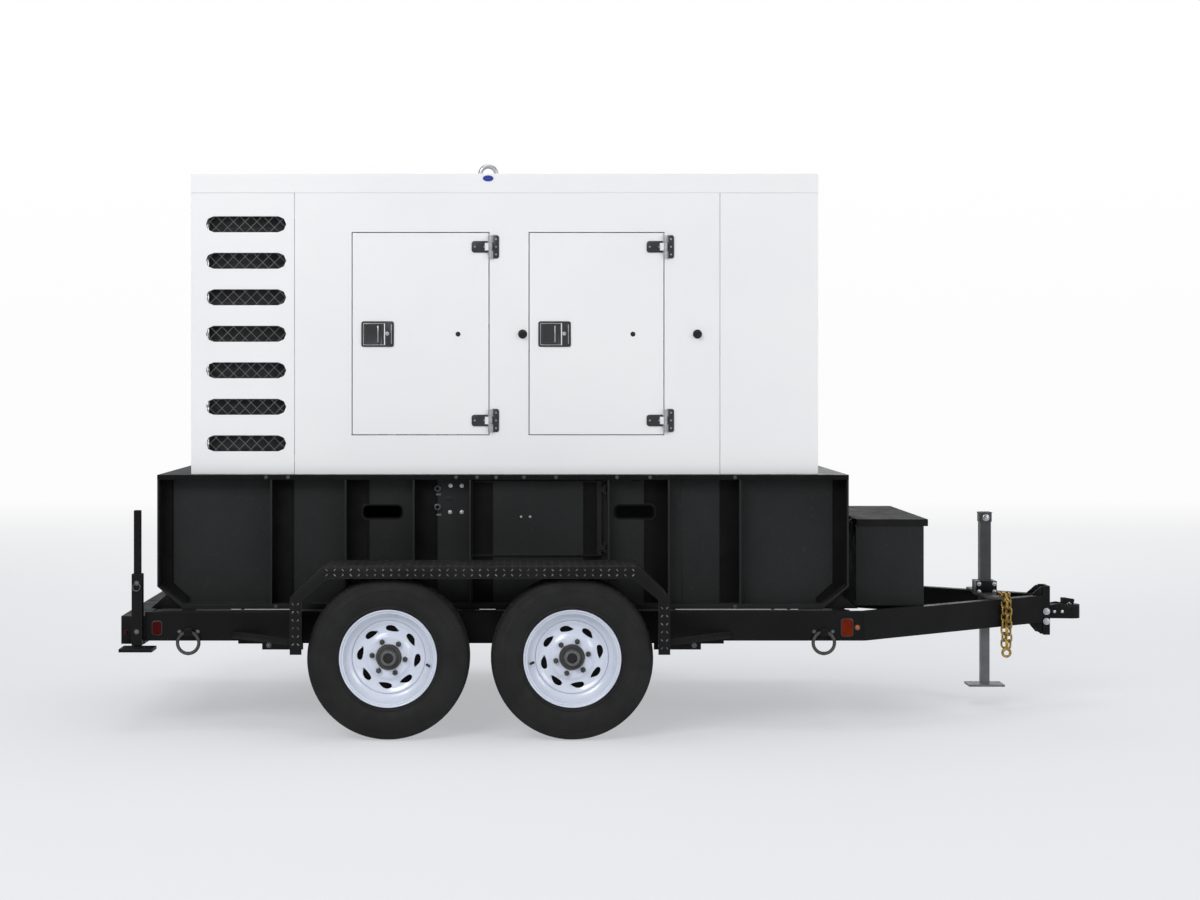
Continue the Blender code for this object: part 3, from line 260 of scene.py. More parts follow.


# the edge colours below lighten corners: partly wear, partly a painted highlight along the edges
finishes = {
    "whitePowder": {"colours": ((0.80, 0.80, 0.80), (0.77, 0.775, 0.78)), "cloud": 1.6, "rough": (0.34, 0.46),
                    "grain": (420.0, 0.16), "dust": ((0.60, 0.59, 0.57), 0.18), "coat": 0.15},
    "blackPowder": {"colours": ((0.0100, 0.0105, 0.0108), (0.0150, 0.0156, 0.0160)), "cloud": 2.4,
                    "rough": (0.40, 0.56), "grain": (380.0, 0.22), "dust": ((0.06, 0.06, 0.058), 0.22),
                    "edge": ((0.09, 0.09, 0.09), 0.0025, 0.5), "speck": ((0.03, 0.03, 0.03), 70.0, 0.25),
                    "specular": 0.19},
    # near-black finish for painted shade: bands beside the base ribs, pocket rims, port bores, brake drums
    # and the top flange
    "paintedShadeBlack": {"colours": ((0.0022, 0.0022, 0.0024), (0.0045, 0.0045, 0.0048)), "cloud": 5.0,
                    "rough": (0.60, 0.80), "grain": (300.0, 0.2), "specular": 0.12},
    "frameBlack": {"colours": ((0.0040, 0.0040, 0.0043), (0.0075, 0.0075, 0.0079)), "cloud": 3.0,
                   "rough": (0.36, 0.54), "grain": (320.0, 0.25), "dust": ((0.05, 0.049, 0.047), 0.25),
                   "edge": ((0.08, 0.08, 0.08), 0.003, 0.45), "specular": 0.11},
    "treadPlate": {"colours": ((0.0060, 0.0060, 0.0063), (0.0100, 0.0100, 0.0104)), "cloud": 4.0,
                   "rough": (0.38, 0.54), "grain": (260.0, 0.3), "dust": ((0.06, 0.059, 0.056), 0.30),
                   "edge": ((0.22, 0.22, 0.22), 0.002, 0.7), "specular": 0.12},
    # the raised marks are lighter than the plate: partly wear on their tops, partly a painted highlight
    "treadLugWearAndHighlight": {"colours": ((0.022, 0.022, 0.022), (0.170, 0.170, 0.170)), "cloud": 26.0, "metal": 0.3,
                 "rough": (0.25, 0.42), "grain": (600.0, 0.2)},
    "tyreRubber": {"colours": ((0.0078, 0.0078, 0.0080), (0.0125, 0.0125, 0.0127)), "cloud": 6.0,
                   "rough": (0.58, 0.78), "grain": (700.0, 0.35), "dust": ((0.04, 0.039, 0.037), 0.20),
                   "specular": 0.24},
    "rimWhite": {"colours": ((0.65, 0.69, 0.79), (0.59, 0.63, 0.73)), "cloud": 7.0, "rough": (0.16, 0.28),
                 "grain": (500.0, 0.08), "speck": ((0.40, 0.38, 0.36), 140.0, 0.25), "coat": 0.5},
    "zincPlate": {"colours": ((0.56, 0.57, 0.58), (0.40, 0.41, 0.43)), "cloud": 30.0, "metal": 1.0,
                  "rough": (0.28, 0.45), "grain": (650.0, 0.25)},
    "galvanised": {"colours": ((0.42, 0.43, 0.44), (0.30, 0.31, 0.32)), "cloud": 45.0, "metal": 0.75,
                   "rough": (0.40, 0.60), "grain": (180.0, 0.3), "speck": ((0.55, 0.56, 0.57), 90.0, 0.5)},
    "dullZinc": {"colours": ((0.150, 0.152, 0.155), (0.090, 0.091, 0.093)), "cloud": 40.0, "metal": 0.6,
                 "rough": (0.38, 0.58), "grain": (260.0, 0.3), "speck": ((0.32, 0.32, 0.33), 90.0, 0.5)},
    # the seat's light top is partly dust and partly a painted highlight on the ledge above the rail
    "seatGreyDustAndHighlight": {"colours": ((0.040, 0.040, 0.040), (0.020, 0.020, 0.021)), "cloud": 6.0,
                 "rough": (0.50, 0.70), "grain": (200.0, 0.3), "dust": ((0.14, 0.137, 0.13), 0.5)},
    "goldZinc": {"colours": ((0.50, 0.33, 0.085), (0.17, 0.10, 0.022)), "cloud": 40.0, "metal": 0.9,
                 "rough": (0.30, 0.50), "grain": (500.0, 0.3), "speck": ((0.25, 0.30, 0.16), 60.0, 0.5)},
    "chrome": {"colours": ((0.72, 0.72, 0.73), (0.62, 0.62, 0.64)), "cloud": 20.0, "metal": 1.0,
               "rough": (0.06, 0.16), "grain": (400.0, 0.05)},
    "darkIron": {"colours": ((0.045, 0.045, 0.045), (0.080, 0.074, 0.068)), "cloud": 14.0, "metal": 0.5,
                 "rough": (0.42, 0.62), "grain": (220.0, 0.5), "grainDepth": 0.0008},
    "tubeGrey": {"colours": ((0.042, 0.042, 0.043), (0.060, 0.060, 0.062)), "cloud": 9.0, "metal": 0.2,
                 "rough": (0.36, 0.52), "grain": (300.0, 0.25), "edge": ((0.20, 0.20, 0.20), 0.002, 0.45),
                 "specular": 0.25},
    "lidBlack": {"colours": ((0.0085, 0.0086, 0.0090), (0.0140, 0.0141, 0.0145)), "cloud": 5.0,
                 "rough": (0.55, 0.72), "grain": (380.0, 0.3), "dust": ((0.045, 0.045, 0.043), 0.30),
                 "edge": ((0.07, 0.07, 0.07), 0.0025, 0.4), "specular": 0.05},
    "fanBlack": {"colours": ((0.012, 0.012, 0.012), (0.022, 0.022, 0.022)), "cloud": 9.0,
                 "rough": (0.45, 0.62), "grain": (260.0, 0.3), "dust": ((0.09, 0.085, 0.08), 0.4)},
    "legGrey": {"colours": ((0.170, 0.172, 0.176), (0.130, 0.132, 0.136)), "cloud": 12.0, "metal": 0.4,
                "rough": (0.38, 0.55), "grain": (300.0, 0.25), "edge": ((0.42, 0.42, 0.42), 0.002, 0.5)},
    "mouldedBlack": {"colours": ((0.014, 0.014, 0.015), (0.020, 0.020, 0.021)), "cloud": 12.0,
                     "rough": (0.30, 0.44), "grain": (900.0, 0.3)},
    "softRubber": {"colours": ((0.010, 0.010, 0.010), (0.018, 0.018, 0.018)), "cloud": 25.0,
                   "rough": (0.65, 0.85), "grain": (500.0, 0.3), "specular": 0.3},
    "lensRed": {"colours": ((0.060, 0.0020, 0.0020), (0.040, 0.0015, 0.0015)), "cloud": 60.0,
                "rough": (0.24, 0.36), "grain": (260.0, 0.5), "specular": 0.07},
    "lensOrange": {"colours": ((0.150, 0.014, 0.0018), (0.105, 0.009, 0.0015)), "cloud": 60.0,
                   "rough": (0.24, 0.36), "grain": (260.0, 0.5), "specular": 0.07},
    "lensAmber": {"colours": ((0.36, 0.085, 0.008), (0.27, 0.055, 0.006)), "cloud": 60.0,
                  "rough": (0.12, 0.22), "grain": (260.0, 0.5), "coat": 0.6},
    "ovalBlue": {"colours": ((0.012, 0.040, 0.30), (0.010, 0.030, 0.24)), "cloud": 40.0,
                 "rough": (0.18, 0.30), "grain": (500.0, 0.1), "coat": 0.5},
    "engineGreen": {"colours": ((0.035, 0.055, 0.050), (0.022, 0.036, 0.033)), "cloud": 7.0,
                    "rough": (0.35, 0.55), "grain": (160.0, 0.4), "dust": ((0.10, 0.095, 0.085), 0.35),
                    "edge": ((0.14, 0.14, 0.13), 0.003, 0.4)},
    "machineGrey": {"colours": ((0.24, 0.245, 0.25), (0.19, 0.195, 0.20)), "cloud": 8.0,
                    "rough": (0.38, 0.55), "grain": (240.0, 0.3), "dust": ((0.30, 0.29, 0.27), 0.3)},
    "coreAlloy": {"colours": ((0.36, 0.36, 0.37), (0.26, 0.26, 0.27)), "cloud": 10.0, "metal": 0.8,
                  "rough": (0.40, 0.60), "grain": (300.0, 0.3)},
    "heatSteel": {"colours": ((0.30, 0.29, 0.28), (0.20, 0.17, 0.15)), "cloud": 9.0, "metal": 0.85,
                  "rough": (0.35, 0.60), "grain": (200.0, 0.35)},
    "foamLining": {"colours": ((0.020, 0.020, 0.021), (0.032, 0.032, 0.033)), "cloud": 20.0,
                   "rough": (0.80, 0.95), "grain": (120.0, 0.9), "grainDepth": 0.003},
}
coats = {name: makeFinish(name, look) for name, look in finishes.items()}
print("finishes made:", len(coats))


# shaping helpers

def chooseOnly(*chosen):
    bpy.ops.object.select_all(action="DESELECT")
    for one in chosen:
        one.select_set(True)
    bpy.context.view_layer.objects.active = chosen[0]


def settle(shape):
    chooseOnly(shape)
    bpy.ops.object.transform_apply(location=True, rotation=True, scale=True)
    return shape


def tidyNormals(shape, gap=0.00002):
    chooseOnly(shape)
    bpy.ops.object.mode_set(mode="EDIT")
    bpy.ops.mesh.select_all(action="SELECT")
    bpy.ops.mesh.remove_doubles(threshold=gap)
    bpy.ops.mesh.normals_make_consistent(inside=False)
    bpy.ops.object.mode_set(mode="OBJECT")


def pickFaces(shape, wanted):
    # leaves the mesh in edit mode with the wanted faces selected
    chooseOnly(shape)
    bpy.ops.object.mode_set(mode="EDIT")
    bpy.ops.mesh.select_mode(type="FACE")
    bpy.ops.mesh.select_all(action="DESELECT")
    bpy.ops.object.mode_set(mode="OBJECT")
    for face in shape.data.polygons:
        face.select = bool(wanted(face))
    bpy.ops.object.mode_set(mode="EDIT")


def pressIn(shape, wanted, *steps):
    # each step insets the wanted faces by a width and moves them by a depth
    pickFaces(shape, wanted)
    for width, depth in steps:
        bpy.ops.mesh.inset(thickness=width, depth=depth)
    bpy.ops.object.mode_set(mode="OBJECT")


def pickCorners(shape, wanted):
    chooseOnly(shape)
    bpy.ops.object.mode_set(mode="EDIT")
    bpy.ops.mesh.select_mode(type="VERT")
    bpy.ops.mesh.select_all(action="DESELECT")
    bpy.ops.object.mode_set(mode="OBJECT")
    for corner in shape.data.vertices:
        corner.select = bool(wanted(corner))
    bpy.ops.object.mode_set(mode="EDIT")


def copyNode(node, name):
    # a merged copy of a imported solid, with its flat faces whole again
    shape = bpy.data.objects.new(name, nodes[node].data.copy())
    bpy.context.scene.collection.objects.link(shape)
    chooseOnly(shape)
    bpy.ops.object.mode_set(mode="EDIT")
    bpy.ops.mesh.select_all(action="SELECT")
    bpy.ops.mesh.remove_doubles(threshold=0.00002)
    bpy.ops.mesh.dissolve_limited(angle_limit=math.radians(0.5))
    bpy.ops.mesh.normals_make_consistent(inside=False)
    bpy.ops.object.mode_set(mode="OBJECT")
    return shape


def drawLine(name, corners):
    # one corner is extruded from point to point
    bpy.ops.object.select_all(action="DESELECT")
    bpy.ops.mesh.primitive_plane_add(size=0.001, location=corners[0])
    shape = bpy.context.active_object
    shape.name = name
    bpy.ops.object.mode_set(mode="EDIT")
    bpy.ops.mesh.select_mode(type="VERT")
    bpy.ops.mesh.select_all(action="SELECT")
    bpy.ops.mesh.merge(type="CENTER")
    last = Vector(corners[0])
    for corner in corners[1:]:
        step = Vector(corner) - last
        bpy.ops.mesh.extrude_vertices_move(TRANSFORM_OT_translate={"value": tuple(step)})
        last = Vector(corner)
    return shape


def turnProfile(name, profile, centre=(0, 0, 0), axis="Y", steps=48, loop=True):
    # profile is (radius, distance along the axis) and goes right round, or from pole to pole
    cx, cy, cz = centre
    place = {"Y": lambda r, t: (cx + r, cy + t, cz), "Z": lambda r, t: (cx + r, cy, cz + t),
             "X": lambda r, t: (cx + t, cy, cz + r)}[axis]
    shape = drawLine(name, [place(r, t) for r, t in profile + ([profile[0]] if loop else [])])
    bpy.ops.mesh.select_all(action="SELECT")
    bpy.ops.mesh.spin(steps=steps, angle=2 * math.pi, center=centre,
                      axis={"X": (1, 0, 0), "Y": (0, 1, 0), "Z": (0, 0, 1)}[axis])
    bpy.ops.mesh.select_all(action="SELECT")
    bpy.ops.mesh.remove_doubles(threshold=0.00002)
    bpy.ops.mesh.normals_make_consistent(inside=False)
    bpy.ops.object.mode_set(mode="OBJECT")
    return settle(shape)


def cutPlate(name, corners, push):
    # a flat outline, filled and pushed out to its thickness
    shape = drawLine(name, corners)
    bpy.ops.mesh.select_all(action="SELECT")
    bpy.ops.mesh.edge_face_add()
    bpy.ops.mesh.extrude_region_move(TRANSFORM_OT_translate={"value": tuple(push)})
    bpy.ops.mesh.select_all(action="SELECT")
    bpy.ops.mesh.normals_make_consistent(inside=False)
    bpy.ops.object.mode_set(mode="OBJECT")
    return settle(shape)


def addBlock(name, low, high, corner=0.0015, rounds=2):
    low, high = Vector(low), Vector(high)
    bpy.ops.object.select_all(action="DESELECT")
    bpy.ops.mesh.primitive_cube_add(size=1, location=(low + high) / 2, scale=high - low)
    shape = bpy.context.active_object
    shape.name = name
    settle(shape)
    if corner:
        bpy.ops.object.mode_set(mode="EDIT")
        bpy.ops.mesh.select_all(action="SELECT")
        bpy.ops.mesh.bevel(offset=corner, segments=rounds)
        bpy.ops.object.mode_set(mode="OBJECT")
    return shape


def addHoop(around, through, ring, wire, location=(0, 0, 0), rotation=(math.radians(90), 0, 0)):
    bpy.ops.object.select_all(action="DESELECT")
    bpy.ops.mesh.primitive_torus_add(major_segments=around, minor_segments=through, major_radius=ring,
                                     minor_radius=wire, location=location, rotation=rotation)
    return settle(bpy.context.active_object)


def softenEdges(shape, width=0.0015, rounds=2, limit=35):
    chooseOnly(shape)
    made = shape.modifiers.new("soft_edges", "BEVEL")
    made.width, made.segments, made.angle_limit = width, rounds, math.radians(limit)
    bpy.ops.object.modifier_apply(modifier=made.name)
    return shape


def roundPlate(name, low, high, radius, rounded=lambda x, z: True, axis=1, soft=0.0008):
    # a block whose long corners across one axis are rounded off
    plate = addBlock(name, low, high, 0)
    chooseOnly(plate)
    bpy.ops.object.mode_set(mode="EDIT")
    bpy.ops.mesh.select_mode(type="EDGE")
    bpy.ops.mesh.select_all(action="DESELECT")
    bpy.ops.object.mode_set(mode="OBJECT")
    points = plate.data.vertices
    for edge in plate.data.edges:
        a, b = (points[number].co for number in edge.vertices)
        across = [k for k in range(3) if abs(a[k] - b[k]) > 1e-6] == [axis]
        u, v = [a[k] for k in range(3) if k != axis]
        edge.select = across and bool(rounded(u, v))
    bpy.ops.object.mode_set(mode="EDIT")
    bpy.ops.mesh.bevel(offset=radius, segments=6)
    bpy.ops.object.mode_set(mode="OBJECT")
    return softenEdges(plate, soft, 2, 40) if soft else plate


def addBolt(name, place, outward=(0, -1, 0), across=0.013, tall=0.006):
    # a hexagon head on a washer
    turn = Vector((0, 0, 1)).rotation_difference(Vector(outward)).to_euler()
    bpy.ops.object.select_all(action="DESELECT")
    bpy.ops.mesh.primitive_cylinder_add(vertices=16, radius=across * 0.85, depth=0.0016,
                                        location=Vector(place) + Vector(outward) * 0.0008, rotation=turn)
    washer = bpy.context.active_object
    bpy.ops.mesh.primitive_cylinder_add(vertices=6, radius=across * 0.58, depth=tall,
                                        location=Vector(place) + Vector(outward) * (0.0015 + tall / 2),
                                        rotation=turn)
    head = bpy.context.active_object
    head.name = name
    settle(head)
    outward = Vector(outward)
    pressIn(head, lambda face: face.normal.dot(outward) > 0.9,
            (across * 0.12, across * 0.06))
    settle(washer)
    return joinShapes(name, [head, washer])


def joinShapes(name, shapes):
    chooseOnly(*shapes)
    if len(shapes) > 1:
        bpy.ops.object.join()
    shapes[0].name = name
    return shapes[0]


def cutAway(shape, cutter):
    chooseOnly(shape)
    cut = shape.modifiers.new("cut", "BOOLEAN")
    cut.object, cut.operation, cut.solver = cutter, "DIFFERENCE", "EXACT"
    bpy.ops.object.modifier_apply(modifier=cut.name)
    dropShapes(cutter)
    return shape


def copyShape(shape, name, move=(0, 0, 0), turn=(0, 0, 0), mirror=None):
    # own mesh; turned about the origin, then mirrored across it, then moved
    chooseOnly(shape)
    bpy.ops.object.duplicate()
    made = bpy.context.active_object
    made.name = name
    made.rotation_euler = turn
    bpy.ops.object.transform_apply(location=False, rotation=True, scale=False)
    if mirror is not None:
        made.scale = [-1 if axis == mirror else 1 for axis in "XYZ"]
        bpy.ops.object.transform_apply(location=False, rotation=False, scale=True)
        tidyNormals(made)
    made.location = move
    return settle(made)


def dropShapes(*shapes):
    chooseOnly(*shapes)
    bpy.ops.object.delete()


def keep(shape, coat, body="root", angle=35):
    chooseOnly(shape)
    bpy.ops.object.transform_apply(location=True, rotation=True, scale=True)
    bpy.ops.object.shade_smooth_by_angle(angle=math.radians(angle))
    shape.data.materials.clear()
    shape.data.materials.append(coats[coat])
    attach(shape, body)
    return shape


def keepBoth(shape, name, coat, bodies=("root", "root"), angle=35):
    # the right-hand piece as drawn, and its mirror image on the left
    other = copyShape(shape, name + "_left", mirror="Y")
    shape.name = name + "_right"
    keep(shape, coat, bodies[0], angle)
    keep(other, coat, bodies[1], angle)
    return shape, other


# tyres and wheels

tyreLook = {
    "steps": 120,
    "profile": [(0.1930, 0.0700), (0.1930, 0.0790), (0.2093, 0.0797), (0.2108, 0.0890), (0.2160, 0.0955),
                (0.2185, 0.0985), (0.2215, 0.0985), (0.2235, 0.0975), (0.2350, 0.1045), (0.2500, 0.1105),
                (0.2650, 0.1125), (0.2800, 0.1120), (0.2862, 0.1119), (0.2880, 0.1106), (0.2900, 0.1106),
                (0.2920, 0.1112), (0.3050, 0.1078), (0.3155, 0.1035), (0.3178, 0.1042), (0.3205, 0.1036),
                (0.3260, 0.1008), (0.3330, 0.0965), (0.3385, 0.0912), (0.3415, 0.0860), (0.3428, 0.0800),
                (0.3437, 0.0665), (0.3365, 0.0645), (0.3365, 0.0590), (0.3443, 0.0570), (0.3456, 0.0300),
                (0.3385, 0.0280), (0.3385, 0.0225), (0.3463, 0.0205)],
    "inside": [(0.3300, 0.0850), (0.2620, 0.0990), (0.2150, 0.0760)],
}


def makeTyre(look):
    half = look["profile"]
    profile = [(r, -t) for r, t in half] + [(r, t) for r, t in reversed(half)]
    profile += [(r, t) for r, t in reversed(look["inside"])] + [(r, -t) for r, t in look["inside"]]
    tyre = turnProfile("tyre", profile, steps=look["steps"])

    def stepOf(face):
        turn = math.atan2(face.center.z, face.center.x) / (2 * math.pi) * look["steps"]
        return int(math.floor(turn))

    def reach(face):
        return math.hypot(face.center.x, face.center.z)

    # notches round both shoulders, and short cuts across the ribs of the tread
    pickFaces(tyre, lambda face: 0.3390 < reach(face) < 0.3426 and 0.080 < abs(face.center.y) < 0.090
              and stepOf(face) % 2 == 0)
    bpy.ops.mesh.inset(thickness=0.0016, depth=-0.0045, use_individual=False)
    bpy.ops.object.mode_set(mode="OBJECT")
    pickFaces(tyre, lambda face: reach(face) > 0.3425 and 0.034 < abs(face.center.y) < 0.056
              and stepOf(face) % 3 == 0)
    bpy.ops.mesh.inset(thickness=0.0020, depth=-0.0040, use_individual=True)
    bpy.ops.object.mode_set(mode="OBJECT")
    return tyre


wheelLook = {
    "rim": [(0.2078, 0.0815), (0.2078, 0.0866), (0.2062, 0.0880), (0.2032, 0.0880), (0.2000, 0.0862),
            (0.1968, 0.0800), (0.1925, 0.0715), (0.1868, 0.0630), (0.1800, 0.0545), (0.1720, 0.0470),
            (0.1640, 0.0420), (0.1590, 0.0400), (0.1562, 0.0360), (0.1560, -0.0300), (0.1700, -0.0500),
            (0.1840, -0.0660), (0.1990, -0.0800), (0.2035, -0.0880), (0.2078, -0.0866), (0.2078, -0.0815),
            (0.1905, -0.0790), (0.1890, -0.0640), (0.1750, -0.0460), (0.1612, -0.0280), (0.1612, 0.0340),
            (0.1690, 0.0410), (0.1790, 0.0485), (0.1860, 0.0570), (0.1900, 0.0660), (0.1912, 0.0792)],
    "disc": [(0.0540, 0.0340), (0.0552, 0.0357), (0.0840, 0.0365), (0.0880, 0.0362), (0.0930, 0.0330),
             (0.1000, 0.0285), (0.1090, 0.0262), (0.1300, 0.0255), (0.1380, 0.0275), (0.1460, 0.0325),
             (0.1520, 0.0350), (0.1548, 0.0342), (0.1556, 0.0315), (0.1556, 0.0200), (0.1520, 0.0200),
             (0.1515, 0.0305), (0.1460, 0.0282), (0.1380, 0.0232), (0.1300, 0.0212), (0.1090, 0.0218),
             (0.0990, 0.0245), (0.0900, 0.0305), (0.0840, 0.0320), (0.0540, 0.0315)],
    "window": [(-0.0275, -0.0038), (-0.0269, 0.0050), (-0.0188, 0.0112), (-0.0050, 0.0138), (0.0088, 0.0106),
               (0.0200, 0.0025), (0.0306, -0.0081), (0.0188, -0.0122), (0.0025, -0.0131), (-0.0138, -0.0119),
               (-0.0231, -0.0094)],
    "windowRadius": 0.1225, "windows": 8, "nutCircle": 0.0705, "nuts": 6,
    "hub": [(0.0, 0.0300), (0.0534, 0.0300), (0.0534, 0.0435), (0.0515, 0.0458), (0.0430, 0.0460),
            (0.0420, 0.0440), (0.0372, 0.0440), (0.0362, 0.0455), (0.0362, 0.0470), (0.0, 0.0470)],
    "cap": [(0.0, 0.0465), (0.0355, 0.0465), (0.0355, 0.0500), (0.0340, 0.0512), (0.0340, 0.0695),
            (0.0328, 0.0750), (0.0300, 0.0776), (0.0240, 0.0780), (0.0226, 0.0772), (0.0222, 0.0740),
            (0.0, 0.0740)],
    "plug": [(0.0, 0.0735), (0.0212, 0.0735), (0.0212, 0.0762), (0.0190, 0.0772), (0.0120, 0.0760),
             (0.0110, 0.0768), (0.0050, 0.0774), (0.0, 0.0775)],
    "drum": [(0.0, -0.0560), (0.0800, -0.0560), (0.1440, -0.0540), (0.1480, -0.0500), (0.1480, 0.0020),
             (0.1440, 0.0080), (0.0900, 0.0120), (0.0520, 0.0140), (0.0520, 0.0300), (0.0, 0.0300)],
    "valve": [(0.0, 0.0), (0.0058, 0.0), (0.0062, 0.0030), (0.0048, 0.0060), (0.0042, 0.0210),
              (0.0052, 0.0215), (0.0052, 0.0290), (0.0040, 0.0305), (0.0, 0.0308)],
    "nutRadius": 0.0118, "nutTall": 0.014, "nutFace": -0.0435,
    "nutSteps": [(0.0022, 0.0010), (0.0012, 0.0040), (0.0030, 0.0030)],
    "valveAt": (0.1660, -0.0420, -0.012), "valveLean": 22,
    # the brake drum is near-black: painted shade behind the wheel disc
    "turned": [("hub", "hub", 64, "darkIron", "dark_grey"), ("grease_cap", "cap", 64, "dullZinc", "zinc"),
               ("cap_plug", "plug", 40, "softRubber", "tyre_rubber"),
               ("brake_drum", "drum", 64, "paintedShadeBlack", "dark_grey")],
}


def outward(profile):
    # on the right-hand side the outside of a wheel faces -Y
    return [(r, -t) for r, t in profile]


def spinCopies(count):
    # repeats the whole mesh at equal steps round the wheel's axle
    bpy.ops.mesh.select_all(action="SELECT")
    bpy.ops.mesh.spin(steps=count - 1, dupli=True, center=(0, 0, 0), axis=(0, 1, 0),
                      angle=2 * math.pi * (count - 1) / count)


def makeWheel(look):
    rim = turnProfile("rim", outward(look["rim"]), steps=120)
    disc = turnProfile("disc", outward(look["disc"]), steps=120)

    at = look["windowRadius"]
    cutter = drawLine("windowCutter", [(u, -0.08, at + v) for u, v in look["window"]])
    bpy.ops.mesh.select_all(action="SELECT")
    bpy.ops.mesh.edge_face_add()
    bpy.ops.mesh.extrude_region_move(TRANSFORM_OT_translate={"value": (0, 0.10, 0)})
    spinCopies(look["windows"])
    bpy.ops.mesh.select_all(action="SELECT")
    bpy.ops.mesh.normals_make_consistent(inside=False)
    bpy.ops.object.mode_set(mode="OBJECT")
    settle(cutter)
    cutAway(disc, cutter)
    softenEdges(disc, 0.0008, 2, 50)

    bpy.ops.object.select_all(action="DESELECT")
    bpy.ops.mesh.primitive_cylinder_add(vertices=6, radius=look["nutRadius"], depth=look["nutTall"],
                                        rotation=(math.pi / 2, 0, 0),
                                        location=(look["nutCircle"], look["nutFace"], 0))
    nut = settle(bpy.context.active_object)
    pressIn(nut, lambda face: face.normal.y < -0.9, *look["nutSteps"])
    bpy.ops.object.mode_set(mode="EDIT")
    spinCopies(look["nuts"])
    bpy.ops.object.mode_set(mode="OBJECT")
    nut.name = "nuts"

    valve = turnProfile("valve", [(r, -t) for r, t in look["valve"]], steps=20, loop=False)
    valve = copyShape(valve, "valveLeaning", move=look["valveAt"],
                      turn=(0, 0, math.radians(look["valveLean"])))
    bpy.data.objects.remove(bpy.data.objects["valve"])
    made = {"rim": (joinShapes("rim", [rim, disc]), "rimWhite", "rim_white")}
    for piece, part, steps, coat, slotName in look["turned"]:
        made[piece] = (turnProfile(part, outward(look[part]), steps=steps, loop=False), coat, slotName)
    made["lug_nuts"] = (nut, "darkIron", "zinc")
    made["valve_stem"] = (valve, "softRubber", "tyre_rubber")
    return made


def middleOf(node):
    low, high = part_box(node)
    return (low + high) / 2


tyreShape = makeTyre(tyreLook)
wheelShapes = makeWheel(wheelLook)
wheelTurns = {"rear": 0.12, "front": 2.94}        # how far round each wheel has stopped
for axle, turn in wheelTurns.items():
    for side, sign in sides.items():
        body = f"road_wheel_{axle}_{side}"
        mirror = None if sign < 0 else "Y"
        middle = middleOf(f"tyre_{axle}_{side}")
        tyre = copyShape(tyreShape, f"tyre_{axle}_{side}_carcass", middle, (0, turn, 0), mirror)
        keep(tyre, "tyreRubber", body, 28)
        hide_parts(f"tyre_{axle}_{side}")
        for part, (shape, coat, slotName) in wheelShapes.items():
            made = copyShape(shape, f"{part}_{axle}_{side}", middle, (0, turn, 0), mirror)
            keep(made, coat, body, 40)
            if part == "rim":
                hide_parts(f"wheel_{axle}_{side}")
dropShapes(tyreShape, *[shape for shape, coat, slotName in wheelShapes.values()])
print("wheels fitted")


# fenders with raised diamonds

fenderLook = {"pitch": 0.034, "long": 0.0066, "wide": 0.0027, "tall": 0.0013, "shoulder": 0.137,
              "drop": 0.130,
              "lip": 0.050, "reach": 0.064}


def makeDiamond(look):
    bpy.ops.object.select_all(action="DESELECT")
    bpy.ops.mesh.primitive_cylinder_add(vertices=8, radius=1, depth=look["tall"] * 0.5,
                                        location=(0, 0, look["tall"] * 0.25))
    diamond = bpy.context.active_object
    diamond.scale = (look["long"], look["wide"], 1)
    settle(diamond)
    pressIn(diamond, lambda face: face.normal.z > 0.9,
            (look["wide"] * 0.55, look["tall"] * 0.5))
    return diamond


def diamondPatch(name, diamond, corner, along, across, outwards, size, rows):
    # rows of raised marks that lean one way and then the other
    pitch = fenderLook["pitch"]
    count = int(size[0] / pitch + 0.3)
    start = (size[0] - (count - 1) * pitch) / 2
    tiles = []
    for tilt, first in ((45, 0), (-45, 1)):
        for row in (0, 1):
            if row >= rows:
                continue
            begin = (first + row) % 2
            shape = copyShape(diamond, "tile", turn=(0, 0, math.radians(tilt)))
            shape.location = (start + begin * pitch, (row + 0.5) * size[1] / rows, 0)
            settle(shape)
            made = shape.modifiers.new("along", "ARRAY")
            made.use_relative_offset, made.use_constant_offset = False, True
            made.constant_offset_displace = (2 * pitch, 0, 0)
            made.count = (count - begin + 1) // 2
            bpy.ops.object.modifier_apply(modifier=made.name)
            made = shape.modifiers.new("across", "ARRAY")
            made.use_relative_offset, made.use_constant_offset = False, True
            made.constant_offset_displace = (0, 2 * size[1] / rows, 0)
            made.count = (rows - row + 1) // 2
            bpy.ops.object.modifier_apply(modifier=made.name)
            tiles.append(shape)
    patch = joinShapes(name, tiles)
    axes = Matrix((along, across, outwards)).transposed().to_4x4()
    axes.translation = Vector(corner)
    patch.matrix_world = axes
    return settle(patch)


diamondShape = makeDiamond(fenderLook)
low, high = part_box("fender_right")
low.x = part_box("tyre_rear_right")[0].x - fenderLook["reach"]        # the stays run on past the arch
high.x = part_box("tyre_front_right")[1].x + fenderLook["reach"]
rise, run = fenderLook["drop"], fenderLook["shoulder"]
lipWide = fenderLook["lip"]
slope = math.hypot(rise, run)
depth = high.y - low.y - 0.012
topLong = high.x - low.x - 2 * run
wallTall = high.z - rise - low.z
outer = low.y
patches = []
acrossRows = int(depth / fenderLook["pitch"])
